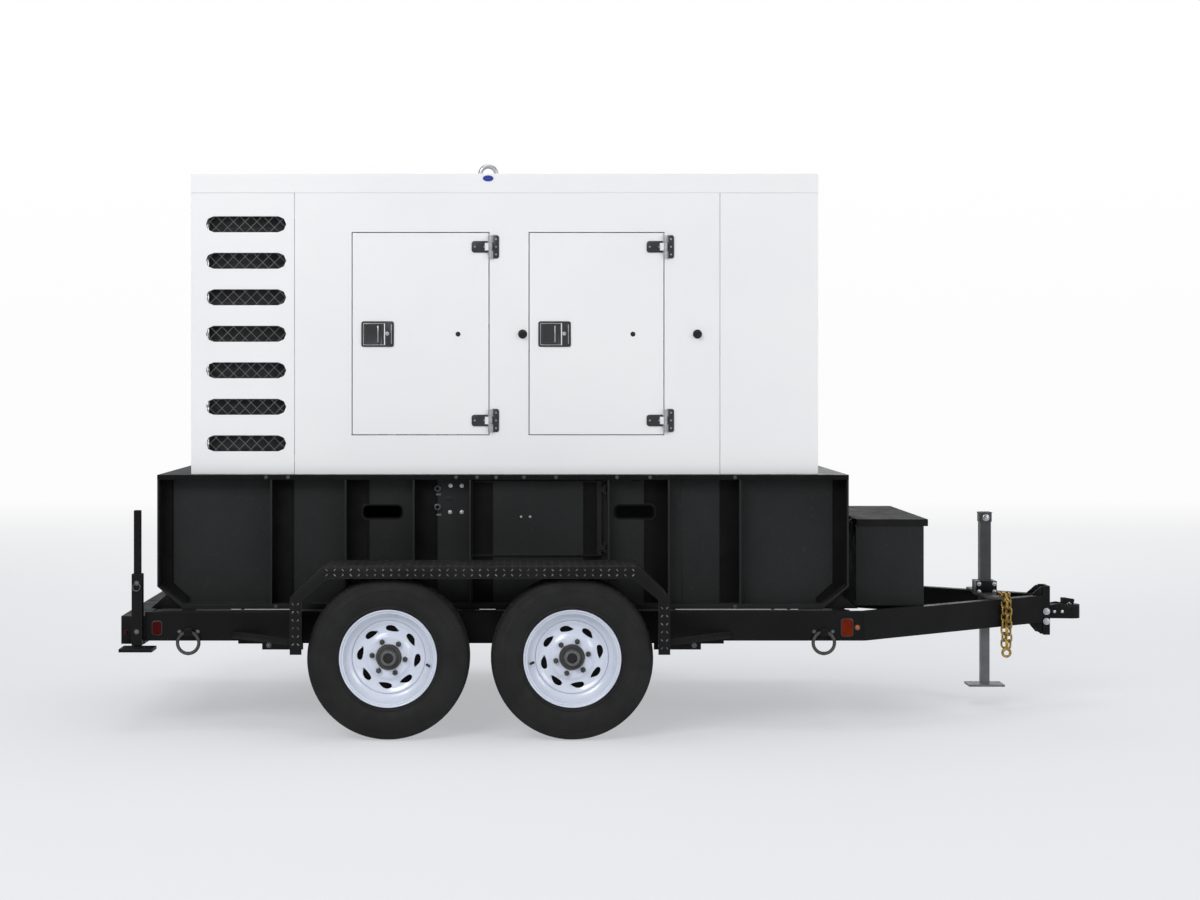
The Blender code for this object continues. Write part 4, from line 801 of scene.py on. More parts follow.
# the top and the outer face of the arch, from the rear end to the front end
runs = [((low.x, low.z), (0, 1), wallTall, (-1, 0)),
        ((low.x, high.z - rise), (run / slope, rise / slope), slope, (-rise / slope, run / slope)),
        ((low.x + run, high.z), (1, 0), topLong, (0, 1)),
        ((high.x - run, high.z), (run / slope, -rise / slope), slope, (rise / slope, run / slope)),
        ((high.x, high.z - rise), (0, -1), wallTall, (1, 0))]
for number, ((x, z), (ax, az), length, (nx, nz)) in enumerate(runs):
    along, normal = Vector((ax, 0, az)), Vector((nx, 0, nz))
    patches.append(diamondPatch(f"top{number}", diamondShape, Vector((x, outer + depth, z)) - normal * 0.0010,
                                along, Vector((0, -1, 0)), normal, (length, depth), acrossRows))
    if number in (1, 3):        # the lip is plain where it slopes
        continue
    trim = 0.016 if number in (0, 4) else 0.0
    # the face of the lip is cut back at its corners, so each run starts and ends short of them
    patches.append(diamondPatch(f"lip{number}", diamondShape,
                                Vector((x, outer, z)) + along * trim - normal * (lipWide - 0.004),
                                along, normal, Vector((0, -1, 0)), (length - trim, lipWide - 0.006), 2))
dropShapes(diamondShape)
marks = joinShapes("fender_marks", patches)
skin = copyNode("fender_right", "fender_skin")
pickCorners(skin, lambda corner: corner.co.y < outer + 0.0001)
# the marks stand on the lip, inside its old face
bpy.ops.transform.translate(value=(0, fenderLook["tall"], 0))
bpy.ops.object.mode_set(mode="OBJECT")
softenEdges(skin, 0.0012, 2, 40)
marks.location.y = fenderLook["tall"]
settle(marks)
skins = keepBoth(skin, "fender_skin", "treadPlate")
for side, shape in zip(sides, skins):
    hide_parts("fender_" + side)
keepBoth(marks, "fender_marks", "treadLugWearAndHighlight")
print("fenders marked")


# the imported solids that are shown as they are

def coatNode(node, coat, width=0.0015):
    shape = nodes[node]
    shape.data.materials.clear()
    shape.data.materials.append(coats[coat])
    whole = shape.modifiers.new("whole", "WELD")
    whole.merge_threshold = 0.00002
    edges = shape.modifiers.new("soft_edges", "BEVEL")
    edges.width, edges.segments, edges.angle_limit = width, 2, math.radians(38)


nodeCoats = {
    "frameBlack": ["side_rail_right", "side_rail_left", "rear_bumper", "front_crossmember",
                   "centre_crossmember", "tongue_rail_right", "tongue_rail_left", "coupler_bracket",
                   "coupler", "coupler_latch", "stabilizer_sleeve_right", "stabilizer_sleeve_left",
                   "suspension_right", "suspension_left", "axle_rear", "axle_front",
                   "stabilizer_leg_right", "stabilizer_leg_left"],
    "blackPowder": ["skid_base", "access_door", "toolbox", "fuel_tank"],
    "lidBlack": ["toolbox_lid"],
    "whitePowder": ["enclosure_rear", "enclosure_right", "enclosure_left", "enclosure_front", "roof",
                    "door_rear_right", "door_rear_left", "door_front_right", "door_front_left"],
    "legGrey": ["jack_leg", "lifting_eye"],
    "darkIron": ["tie_down_rear_right", "tie_down_rear_left", "tie_down_front_right", "tie_down_front_left"],
    "tubeGrey": ["jack_housing"],
    "goldZinc": ["safety_chain"],
    "mouldedBlack": ["latch_door_rear_right", "latch_door_rear_left", "latch_door_front_right",
                     "latch_door_front_left", "control_panel"],
    "engineGreen": ["engine"],
    "machineGrey": ["alternator"],
    "coreAlloy": ["radiator"],
    "fanBlack": ["cooling_fan"],
    "heatSteel": ["muffler"],
}
for coat, names in nodeCoats.items():
    for node in names:
        coatNode(node, coat, 0.0025 if "enclosure" in node or node == "roof" else 0.0012)
print("packed solids painted")


# skid base: near-black strips of painted shade beside the ribs, bolts, ports

baseLow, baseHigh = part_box("skid_base")
baseLook = {
    "panelY": -0.520, "flange": 0.022, "chamfer": (0.115, 0.100), "proud": 0.0025,
    # x spans of the near-black strips that paint the shade bands beside the ribs
    "channels": [(0.508, 0.597), (0.837, 0.9335), (1.138, 1.237), (2.158, 2.259), (2.495, 2.575)],
    "doorShadeBands": [(1.394, 1.4845), (1.886, 1.964)], "doorSill": 0.228, "doorHead": 0.566,
    "topBolts": [0.482, 0.579, 1.322, 1.415, 1.499, 1.6225, 1.764, 2.0337, 2.1796, 2.5554],
    "lowBolts": [0.526, 2.5554], "weld": 2.3263,
    "ports": [(1.237, 0.5289), (1.237, 0.4464)], "portPlates": [(1.2415, 0.5022), (1.243, 0.4117)],
    "panelBolts": [(1.295, 0.5414), (1.345, 0.5414), (1.2926, 0.4241), (1.345, 0.4241), (1.460, 0.5467)],
    "smallPlates": [(1.2904, 0.4834, 0.030, 0.018), (2.1246, 0.5579, 0.040, 0.014)],
    "pockets": [(0.907, 1.075), (2.032, 2.200)], "pocketZ": (0.399, 0.452),
}


def paintedShadeStrip(name, x0, x1, z0, z1, y, thick):
    # a folded strip: its face is let in behind a narrow rim; near-black, it paints the band of shade beside a
    # rib
    strip = addBlock(name, (x0, y - thick, z0), (x1, y - 0.0001, z1), 0.0006, 1)
    pressIn(strip, lambda face: face.normal.y < -0.95 and face.area > 0.5 * (x1 - x0) * (z1 - z0),
            (0.007, 0), (0.002, -thick * 0.7))
    return strip


def buildBase(look):
    x0, z0, z1 = baseLow.x, baseLow.z + look["flange"], baseHigh.z - look["flange"]
    y, thick = look["panelY"], look["proud"]
    strips = [paintedShadeStrip("channel", x0 + a, x0 + b, z0 + 0.001, z1 - 0.001, y, thick)
              for a, b in look["channels"]]
    sill, head = baseLow.z + look["doorSill"], baseLow.z + look["doorHead"]
    for a, b in look["doorShadeBands"]:
        strips.append(paintedShadeStrip("channel", x0 + a, x0 + b, z0 + 0.001, sill - 0.004, y, thick))
    # the end strips of painted shade turn in along the sloping corners
    cx, cz = look["chamfer"]
    for start, sign in ((baseLow.x + 0.008, 1), (baseHigh.x - 0.008, -1)):
        low = baseLow.z + cz + 0.006
        outline = [(0.0, z1 - 0.001), (0.052, z1 - 0.001), (0.052, low + 0.003), (0.126, z0 + 0.020),
                   (0.126, z0 + 0.001), (cx - 0.012, z0 + 0.001), (0.0, low)]
        strip = cutPlate("channel", [(start + sign * u, y - 0.0001, z) for u, z in outline], (0, -thick, 0))
        pressIn(strip, lambda face: face.normal.y < -0.95,
                (0.005, 0), (0.002, -thick * 0.7))
        strips.append(strip)
    ribs = joinShapes("rib_channels", strips)
    pz0, pz1 = baseLow.z + look["pocketZ"][0], baseLow.z + look["pocketZ"][1]
    for a, b in look["pockets"]:
        cutAway(ribs, roundPlate("room", (x0 + a - 0.010, y - 0.02, pz0 - 0.010),
                                 (x0 + b + 0.010, y + 0.02, pz1 + 0.010), 0.026, soft=0))
    keepBoth(ribs, "rib_channels", "paintedShadeBlack")

    # a near-black strip paints a dark line of shade along the top flange
    face = baseLow.y - 0.0012
    strip = addBlock("flange_strip", (baseLow.x, face, z1),
                     (baseHigh.x, baseLow.y + 0.0005, baseHigh.z - 0.0006), 0.0005, 1)
    keepBoth(strip, "flange_strip", "paintedShadeBlack")
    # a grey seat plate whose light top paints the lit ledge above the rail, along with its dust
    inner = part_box("centre_crossmember")[0].y
    seat = addBlock("seat", (baseLow.x, inner, baseLow.z - 0.0075),
                    (baseHigh.x, baseLow.y + 0.004, baseLow.z - 0.0015), 0.0006, 1)
    keepBoth(seat, "base_seat", "seatGreyDustAndHighlight")
    bolts = [addBolt("bolt", (x0 + a, face, z1 + look["flange"] / 2), across=0.010) for a in look["topBolts"]]
    bolts += [addBolt("bolt", (x0 + a, face, z0 - look["flange"] / 2), across=0.010)
              for a in look["lowBolts"]]
    keepBoth(joinShapes("flange_bolts", bolts), "flange_bolts", "darkIron")
    bolts = [addBolt("bolt", (x0 + a, y, baseLow.z + b), across=0.0105) for a, b in look["panelBolts"]]
    keepBoth(joinShapes("base_bolts", bolts), "base_bolts", "zincPlate")

    weld = addBlock("weld", (x0 + look["weld"], y - 0.0016, z0), (x0 + look["weld"] + 0.005, y, z1), 0.0006)
    plates = [weld]
    for a, b, wide, tall in look["smallPlates"]:
        plates.append(addBlock("plate", (x0 + a - wide / 2, y - 0.003, baseLow.z + b - tall / 2),
                               (x0 + a + wide / 2, y, baseLow.z + b + tall / 2), 0.001))
    # near-black rims round the fork pockets paint the shade in the pockets
    rims = []
    for a, b in look["pockets"]:
        rim = roundPlate("rim", (x0 + a - 0.007, y - 0.0028, pz0 - 0.007),
                         (x0 + b + 0.007, y - 0.0001, pz1 + 0.007), 0.025, soft=0)
        cutAway(rim, roundPlate("slot", (x0 + a, y - 0.02, pz0), (x0 + b, y + 0.02, pz1), 0.020, soft=0))
        rims.append(softenEdges(rim, 0.0010, 2, 50))
    keepBoth(joinShapes("pocket_rims", rims), "pocket_rims", "paintedShadeBlack")
    keepBoth(joinShapes("base_fittings", plates), "base_fittings", "blackPowder")

    tags = [addBlock("tag", (x0 + a - 0.011, y - 0.003, baseLow.z + b - 0.0045),
                     (x0 + a + 0.011, y, baseLow.z + b + 0.0045), 0.001) for a, b in look["portPlates"]]
    keepBoth(joinShapes("port_tags", tags), "port_tags", "dullZinc")
    ports, bores = [], []
    for a, b in look["ports"]:
        place = (x0 + a, y, baseLow.z + b)
        ports.append(turnProfile("port", [(0.0, 0.0), (0.0150, 0.0), (0.0150, -0.0040), (0.0140, -0.0055),
                                          (0.0125, -0.0060), (0.0125, -0.0150), (0.0115, -0.0165),
                                          (0.0092, -0.0165), (0.0085, -0.0150), (0.0085, -0.0070),
                                          (0.0, -0.0070)], centre=place, steps=28, loop=False))
        # the near-black bores paint the shade inside the ports
        bores.append(turnProfile("bore", [(0.0, -0.0060), (0.0084, -0.0060), (0.0084, -0.0085),
                                          (0.0052, -0.0095), (0.0050, -0.0120), (0.0, -0.0120)], centre=place,
                                 steps=20, loop=False))
    keepBoth(joinShapes("base_ports", ports), "base_ports", "dullZinc")
    keepBoth(joinShapes("port_bores", bores), "port_bores", "paintedShadeBlack")

    # corner gussets between the sloping corners and the rails
    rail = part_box("side_rail_right")
    gussets = []
    for end, corner, sign in ((rail[0].x + 0.004, baseLow.x, 1), (baseHigh.x + 0.045, baseHigh.x, -1)):
        points = [(end, baseLow.z + 0.0005), (corner + sign * (cx - 0.002), baseLow.z + 0.0005),
                  (corner + sign * 0.040, baseLow.z + cz * (1 - 0.040 / cx) - 0.001)]
        gussets.append(softenEdges(cutPlate("gusset", [(x, -0.572, z) for x, z in points], (0, -0.008, 0)),
                                   0.001))
    keepBoth(joinShapes("base_gussets", gussets), "base_gussets", "frameBlack")

    # the access door is on the right-hand side only
    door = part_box("access_door")
    front = look["panelY"] - 0.018
    # near-black strips paint the shade bands beside the ribs on the access door
    strips = [paintedShadeStrip("door_channels", max(x0 + a, door[0].x + 0.004), min(x0 + b, door[1].x - 0.042),
                           sill + 0.008, head - 0.008, front, 0.0022) for a, b in look["doorShadeBands"]]
    keep(joinShapes("access_door_channels", strips), "paintedShadeBlack", "base_access_door")
    screws = [turnProfile("screw", [(0.0, 0.0), (0.0065, 0.0), (0.0065, -0.0015), (0.0045, -0.0035),
                                    (0.0020, -0.0038), (0.0018, -0.0024), (0.0, -0.0024)],
                          centre=(x, front, 0.9177), steps=20, loop=False) for x in (-0.4447, -0.4046)]
    keep(joinShapes("access_door_screws", screws), "zincPlate", "base_access_door")
    print("skid base dressed")


buildBase(baseLook)


# enclosure: mesh and lining behind the slots, door fittings, lifting eye
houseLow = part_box("enclosure_rear")[0]
houseLook = {
    "meshIn": 0.010, "foamIn": 0.045, "wire": 0.0013, "pitch": 0.052, "slotZ": (0.065, 1.195),
    "meshX": (0.050, 0.437), "backHalf": 0.232,
    "strap": (-0.0835, -0.0115, 0.0255), "leaf": (0.0075, 0.0385, 0.0515), "proud": 0.0055, "knuckle": 0.0095,
    "hingeIn": 0.062, "trayIn": 0.039, "traySize": (0.145, 0.114), "trayProud": 0.0045, "wellIn": 0.0085,
    "wellRight": 0.0395, "wellDeep": 0.0195, "gripAt": 0.0760, "keyAt": 0.0292,
    "plugBack": 0.144, "plug": 0.011, "bumperOn": 0.143, "bumper": 0.020,
}


def wireMesh(name, low, high, look):
    # crossed wires in the X-Z plane, cut to the opening
    tall, wide = high.z - low.z, high.x - low.x
    layers = []
    for lean, depth in ((45, 0.0), (-45, 2 * look["wire"])):
        bpy.ops.object.select_all(action="DESELECT")
        bpy.ops.mesh.primitive_cylinder_add(vertices=6, radius=look["wire"], depth=(tall + wide) * 1.6,
                                            location=(0, 0, 0), rotation=(0, math.radians(lean), 0))
        wire = bpy.context.active_object
        settle(wire)
        span = tall + wide
        wire.location = (low.x - tall / 2, low.y + depth, (low.z + high.z) / 2)
        settle(wire)
        rows = wire.modifiers.new("rows", "ARRAY")
        rows.use_relative_offset, rows.use_constant_offset = False, True
        rows.constant_offset_displace = (look["pitch"], 0, 0)
        rows.count = int(span / look["pitch"]) + 1
        bpy.ops.object.modifier_apply(modifier=rows.name)
        layers.append(wire)
    mesh = joinShapes(name, layers)
    chooseOnly(mesh)
    bpy.ops.object.mode_set(mode="EDIT")
    for place, normal in (((low.x, 0, 0), (-1, 0, 0)), ((high.x, 0, 0), (1, 0, 0)),
                          ((0, 0, low.z), (0, 0, -1)), ((0, 0, high.z), (0, 0, 1))):
        bpy.ops.mesh.select_all(action="SELECT")
        bpy.ops.mesh.bisect(plane_co=place, plane_no=normal, clear_outer=True, use_fill=False)
    bpy.ops.mesh.select_all(action="SELECT")
    bpy.ops.mesh.region_to_loop()
    bpy.ops.mesh.edge_face_add()
    bpy.ops.object.mode_set(mode="OBJECT")
    return mesh


def foamPanel(name, low, high):
    # a lining panel with shallow pyramids
    bpy.ops.object.select_all(action="DESELECT")
    wide, tall = high.x - low.x, high.z - low.z
    bpy.ops.mesh.primitive_grid_add(x_subdivisions=int(wide / 0.055), y_subdivisions=int(tall / 0.055),
                                    size=1, location=((low.x + high.x) / 2, high.y, (low.z + high.z) / 2),
                                    rotation=(math.radians(90), 0, 0))
    panel = bpy.context.active_object
    panel.scale = (wide, tall, 1)
    settle(panel)
    panel.name = name
    bpy.ops.object.mode_set(mode="EDIT")
    bpy.ops.mesh.select_all(action="SELECT")
    bpy.ops.mesh.poke()
    bpy.ops.mesh.select_all(action="DESELECT")
    bpy.ops.object.mode_set(mode="OBJECT")
    joined = [0] * len(panel.data.vertices)
    for edge in panel.data.edges:
        for number in edge.vertices:
            joined[number] += 1
    inner = [number for number, count in enumerate(joined) if count == 4]
    for number in inner:
        panel.data.vertices[number].select = True
    bpy.ops.object.mode_set(mode="EDIT")
    bpy.ops.mesh.select_mode(type="VERT")
    bpy.ops.transform.translate(value=(0, low.y - high.y + 0.006, 0))
    bpy.ops.mesh.select_all(action="SELECT")
    bpy.ops.mesh.extrude_region_move(TRANSFORM_OT_translate={"value": (0, 0.010, 0)})
    bpy.ops.object.mode_set(mode="OBJECT")
    tidyNormals(panel)
    return panel


def buildSlots(look):
    x0, z0 = houseLow.x, houseLow.z
    low = Vector((x0 + look["meshX"][0], houseLow.y + look["meshIn"], z0 + look["slotZ"][0]))
    high = Vector((x0 + look["meshX"][1], houseLow.y + look["meshIn"], z0 + look["slotZ"][1]))
    keepBoth(wireMesh("slot_mesh", low, high, look), "slot_mesh", "legGrey")
    foamLow = Vector((low.x + 0.02, houseLow.y + look["foamIn"], low.z - 0.02))
    foamHigh = Vector((high.x, houseLow.y + look["foamIn"] + 0.02, high.z + 0.02))
    keepBoth(foamPanel("slot_lining", foamLow, foamHigh), "slot_lining", "foamLining")
    # the same behind the back wall, turned to face the rear
    half = look["backHalf"]
    flatLow, flatHigh = Vector((-half, 0, low.z)), Vector((half, 0, high.z))
    back = wireMesh("back_mesh", flatLow, flatHigh, look)
    back = copyShape(back, "slot_mesh_back", move=(x0 + look["meshIn"] + 0.002, 0, 0),
                     turn=(0, 0, -math.pi / 2))
    bpy.data.objects.remove(bpy.data.objects["back_mesh"])
    keep(back, "legGrey")
    lining = foamPanel("back_lining", flatLow - Vector((0.01, 0, 0.02)),
                       flatHigh + Vector((0.01, 0.02, 0.02)))
    made = copyShape(lining, "slot_lining_back", move=(x0 + look["foamIn"], 0, 0), turn=(0, 0, -math.pi / 2))
    dropShapes(lining)
    keep(made, "foamLining")
    print("slots backed with mesh and lining")


def addScrew(place, radius=0.0042):
    return turnProfile("screw", [(0.0, 0.0), (radius, 0.0), (radius, -0.0008), (radius * 0.75, -0.0020),
                                 (radius * 0.35, -0.0025), (radius * 0.30, -0.0014), (0.0, -0.0014)],
                       centre=place, steps=14, loop=False)


def buildDoorFittings(name, look):
    low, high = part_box(name + "_right")
    wall = houseLow.y
    front = wall - look["proud"]
    joint = next(one for one in frame["joints"] if one["name"] == f"door_swing_{name[5:]}_right")
    pin = Vector(joint["pos_m"])
    bodies = [f"service_door_{name[5:]}_{side}" for side in sides]
    levels = [low.z + look["hingeIn"], high.z - look["hingeIn"]]
    straps, leaves, onDoor, onFrame, sleeves, lugs = [], [], [], [], [], []
    a, b, half = look["strap"]
    c, d, tall = look["leaf"]
    r = look["knuckle"]
    for z in levels:
        straps.append(roundPlate("strap", (pin.x + a, front, z - half), (pin.x + b, wall + 0.0005, z + half),
                                 0.012, lambda x, z: x < pin.x - 0.05))
        leaves.append(roundPlate("leaf", (pin.x + c, front, z - tall), (pin.x + d, wall + 0.0005, z + tall),
                                 0.010, lambda x, z: x > pin.x + 0.03))
        onDoor += [addScrew((pin.x + a + 0.014, front, z)), addScrew((pin.x + b - 0.015, front, z))]
        onFrame += [addScrew((pin.x + (c + d) / 2 + 0.002, front, z + step)) for step in (-0.034, 0, 0.034)]
        for group, start, end in ((sleeves, -0.016, 0.016), (lugs, 0.0175, 0.050), (lugs, -0.050, -0.0175)):
            group.append(turnProfile("knuckle", [(0.0, start), (r - 0.0016, start), (r, start + 0.0016),
                                                 (r, end - 0.0016), (r - 0.0016, end), (0.0, end)],
                                     centre=(pin.x, pin.y, z), axis="Z", steps=24, loop=False))
    keepBoth(joinShapes("straps", straps), name + "_hinge_straps", "mouldedBlack", bodies)
    keepBoth(joinShapes("leaves", leaves), name + "_hinge_leaves", "mouldedBlack")
    keepBoth(joinShapes("screws", onDoor), name + "_strap_screws", "galvanised", bodies)
    keepBoth(joinShapes("screws", onFrame), name + "_leaf_screws", "galvanised")
    keepBoth(joinShapes("sleeves", sleeves), name + "_hinge_sleeves", "galvanised", bodies)
    keepBoth(joinShapes("lugs", lugs), name + "_hinge_lugs", "galvanised")

    # latch tray with its well, key lock, paddle
    paddleLow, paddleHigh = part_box("latch_" + name + "_right")
    middle = (paddleLow.z + paddleHigh.z) / 2
    x0, x1 = low.x + look["trayIn"], low.x + look["trayIn"] + look["traySize"][0]
    z0, z1 = middle - look["traySize"][1] / 2, middle + look["traySize"][1] / 2
    face = wall - look["trayProud"]
    tray = roundPlate("tray", (x0, face, z0), (x1, wall + look["wellDeep"] - 0.002, z1), 0.010, soft=0)
    chooseOnly(tray)
    bpy.ops.object.mode_set(mode="EDIT")
    bpy.ops.mesh.select_all(action="SELECT")
    bpy.ops.mesh.bisect(plane_co=(x1 - look["wellRight"] + look["wellIn"], 0, 0), plane_no=(1, 0, 0))
    bpy.ops.object.mode_set(mode="OBJECT")
    split = x1 - look["wellRight"] + look["wellIn"]
    pickFaces(tray, lambda side: side.normal.y < -0.9 and side.center.x < split)
    bpy.ops.mesh.inset(thickness=look["wellIn"], depth=0)
    deep = look["wellDeep"] - look["proud"] + 0.0022
    bpy.ops.mesh.extrude_region_move(TRANSFORM_OT_translate={"value": (0, deep, 0)})
    bpy.ops.object.mode_set(mode="OBJECT")
    tidyNormals(tray)
    softenEdges(tray, 0.0012, 2, 40)
    keepBoth(tray, name + "_latch_tray", "mouldedBlack", bodies)
    lock = turnProfile("lock", [(0.0, 0.0), (0.0085, 0.0), (0.0085, -0.0006), (0.0070, -0.0010),
                                (0.0050, -0.0010), (0.0045, -0.0003), (0.0, -0.0003)],
                       centre=(x1 - look["keyAt"], face, middle + 0.002), steps=28, loop=False)
    slit = addBlock("slit", (x1 - look["keyAt"] - 0.001, face - 0.0009, middle - 0.003),
                    (x1 - look["keyAt"] + 0.001, face, middle + 0.007), 0.0003)
    edge = addBlock("edge", (x1 - 0.0125, face - 0.0009, z0 + 0.014), (x1 - 0.0100, face, z1 - 0.014), 0.0004)
    keepBoth(joinShapes("lock", [lock, slit, edge]), name + "_key_lock", "zincPlate", bodies)

    paddles = [f"door_paddle_{name[5:]}_{side}" for side in sides]
    grip = paddleLow.x + look["gripAt"] - 0.009
    paddle = addBlock("paddle", (paddleLow.x, paddleLow.y - 0.0014, paddleLow.z),
                      (paddleHigh.x - 0.0016, paddleLow.y + 0.0036, paddleHigh.z), 0)
    chooseOnly(paddle)
    bpy.ops.object.mode_set(mode="EDIT")
    for place in (grip, paddleHigh.x - 0.0045):
        bpy.ops.mesh.select_all(action="SELECT")
        bpy.ops.mesh.bisect(plane_co=(place, 0, 0), plane_no=(1, 0, 0))
    bpy.ops.object.mode_set(mode="OBJECT")
    pickFaces(paddle, lambda side: side.normal.y < -0.9 and grip < side.center.x < paddleHigh.x - 0.0045)
    bpy.ops.mesh.inset(thickness=0.003, depth=0)
    bpy.ops.mesh.extrude_region_move(TRANSFORM_OT_translate={"value": (0, 0.0026, 0)})
    bpy.ops.object.mode_set(mode="OBJECT")
    pressIn(paddle, lambda side: side.normal.y < -0.9 and side.center.x < grip,
            (0.006, 0), (0.002, -0.0012))
    softenEdges(paddle, 0.0008, 2, 30)
    for side, shape in zip(sides, keepBoth(paddle, name + "_paddle", "mouldedBlack", paddles)):
        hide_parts(f"latch_{name}_{side}")
    edge = addBlock("edge", (grip - 0.0052, paddleLow.y - 0.0020, paddleLow.z + 0.010),
                    (grip - 0.0014, paddleLow.y + 0.0010, paddleHigh.z - 0.010), 0.0006)
    keepBoth(edge, name + "_paddle_edge", "zincPlate", paddles)

    plug = turnProfile("plug", [(0.0, 0.0), (look["plug"], 0.0), (look["plug"], -0.0012),
                                (look["plug"] * 0.7, -0.0030), (look["plug"] * 0.3, -0.0034), (0.0, -0.0034)],
                       centre=(pin.x - look["plugBack"], wall, middle), steps=28, loop=False)
    keepBoth(plug, name + "_plug", "softRubber", bodies)
    r = look["bumper"]
    bumper = turnProfile("bumper", [(0.0, 0.0), (r, 0.0), (r, -0.0045), (r - 0.0025, -0.0060),
                                    (r - 0.0050, -0.0070), (r - 0.0062, -0.0220), (r - 0.0085, -0.0255),
                                    (0.0080, -0.0265), (0.0062, -0.0240), (0.0, -0.0240)],
                         centre=(pin.x + look["bumperOn"], wall, middle), steps=36, loop=False)
    keepBoth(bumper, name + "_hold_back_bumper", "softRubber")


buildSlots(houseLook)
for doorName in ("door_rear", "door_front"):
    buildDoorFittings(doorName, houseLook)
print("door fittings made")


eyeLook = {"ring": 0.0375, "wire": 0.0108, "collar": 0.022, "plate": 0.006, "boltIn": 0.022,
           "oval": (0.024, 0.0135)}


def buildEye(look):
    low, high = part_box("lifting_eye")
    middle = (low + high) / 2
    plate = roundPlate("plate", (low.x + 0.001, low.y + 0.001, low.z + 0.0002),
                       (high.x - 0.001, high.y - 0.001, low.z + look["plate"]), 0.014, axis=2, soft=0.0012)
    bolts = []
    for x in (low.x + look["boltIn"], high.x - look["boltIn"]):
        for y in (low.y + look["boltIn"], high.y - look["boltIn"]):
            bolts.append(addBolt("bolt", (x, y, low.z + look["plate"]), outward=(0, 0, 1), across=0.015))
    top = high.z - look["ring"] - look["wire"]
    ring = addHoop(around=56, through=18, ring=look["ring"], wire=look["wire"], location=(middle.x, 0, top))
    r = look["collar"]
    collar = turnProfile("collar", [(0.0, 0.0), (r + 0.006, 0.0), (r + 0.006, 0.003), (r, 0.005),
                                    (r * 0.62, 0.010), (r * 0.50, 0.016), (0.0, 0.016)],
                         centre=(middle.x, 0, low.z + look["plate"]), axis="Z", steps=36, loop=False)
    eye = keep(joinShapes("lifting_eye_forged", [ring, collar, plate]), "zincPlate")
    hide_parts("lifting_eye")
    keep(joinShapes("lifting_eye_bolts", bolts), "galvanised")
    bpy.ops.object.select_all(action="DESELECT")
    bpy.ops.mesh.primitive_cylinder_add(vertices=44, radius=1, depth=1, rotation=(math.radians(90), 0, 0),
                                        location=(middle.x + 0.007, houseLow.y - 0.0009,
                                                  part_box("roof")[1].z - 0.0215),
                                        scale=(look["oval"][0], look["oval"][1], 0.0018))
    oval = settle(bpy.context.active_object)
    pressIn(oval, lambda side: side.normal.y < -0.9,
            (0.0016, 0), (0.0006, -0.0005))
    oval.name = "oval_plate"
    keep(oval, "ovalBlue")


buildEye(eyeLook)
print("lifting eye made")


# frame: rings, reflectors, lamps, plates below the rails
frameLook = {
    "ring": 0.0465, "wire": 0.0075, "face": 0.7003, "railZ": 0.387,
    "reflectors": [("rear", -2.036, 0.443, 0.039, 0.057, "lensRed"),
                   ("front", 0.980, 0.445, 0.048, 0.074, "lensOrange")],
    "lamps": [("marker_lamp", 1.0250, 0.445, 0.0115, "lensAmber"),
              ("end_lamp", -2.168, 0.423, 0.0085, "lensRed")],
    "hangers": [[(-1.682, 0.0), (-1.682, -0.014), (-1.577, -0.014), (-1.577, -0.040), (-1.398, -0.040),
                 (-1.398, 0.0)],
                [(0.136, 0.0), (0.136, -0.040), (0.342, -0.040), (0.342, -0.014), (0.442, -0.014),
                 (0.442, 0.0)]],
    "hangerBolts": [(-1.548, -0.020), (-1.428, -0.020), (0.166, -0.020), (0.312, -0.020)],
    "ringBolts": 0.040, "pullRing": 0.016, "pullWire": 0.0017,
}


def buildRings(look):
    ring = addHoop(around=64, through=16, ring=look["ring"], wire=look["wire"])
    # the butt weld that closes the ring
    r = look["wire"]
    weld = turnProfile("weld", [(0.0, -0.0030), (r + 0.0002, -0.0030), (r + 0.0013, 0.0),
                                (r + 0.0002, 0.0030), (0.0, 0.0030)], centre=(0, 0, -look["ring"]), axis="X",
                       steps=20, loop=False)
    ring = joinShapes("ring", [ring, weld])
    for end in ("rear", "front"):
        for side in sides:
            node = f"tie_down_{end}_{side}"
            made = copyShape(ring, node + "_ring", middleOf(node))
            keep(made, "darkIron", f"ring_{end}_{side}", 40)
            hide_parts(node)
    dropShapes(ring)


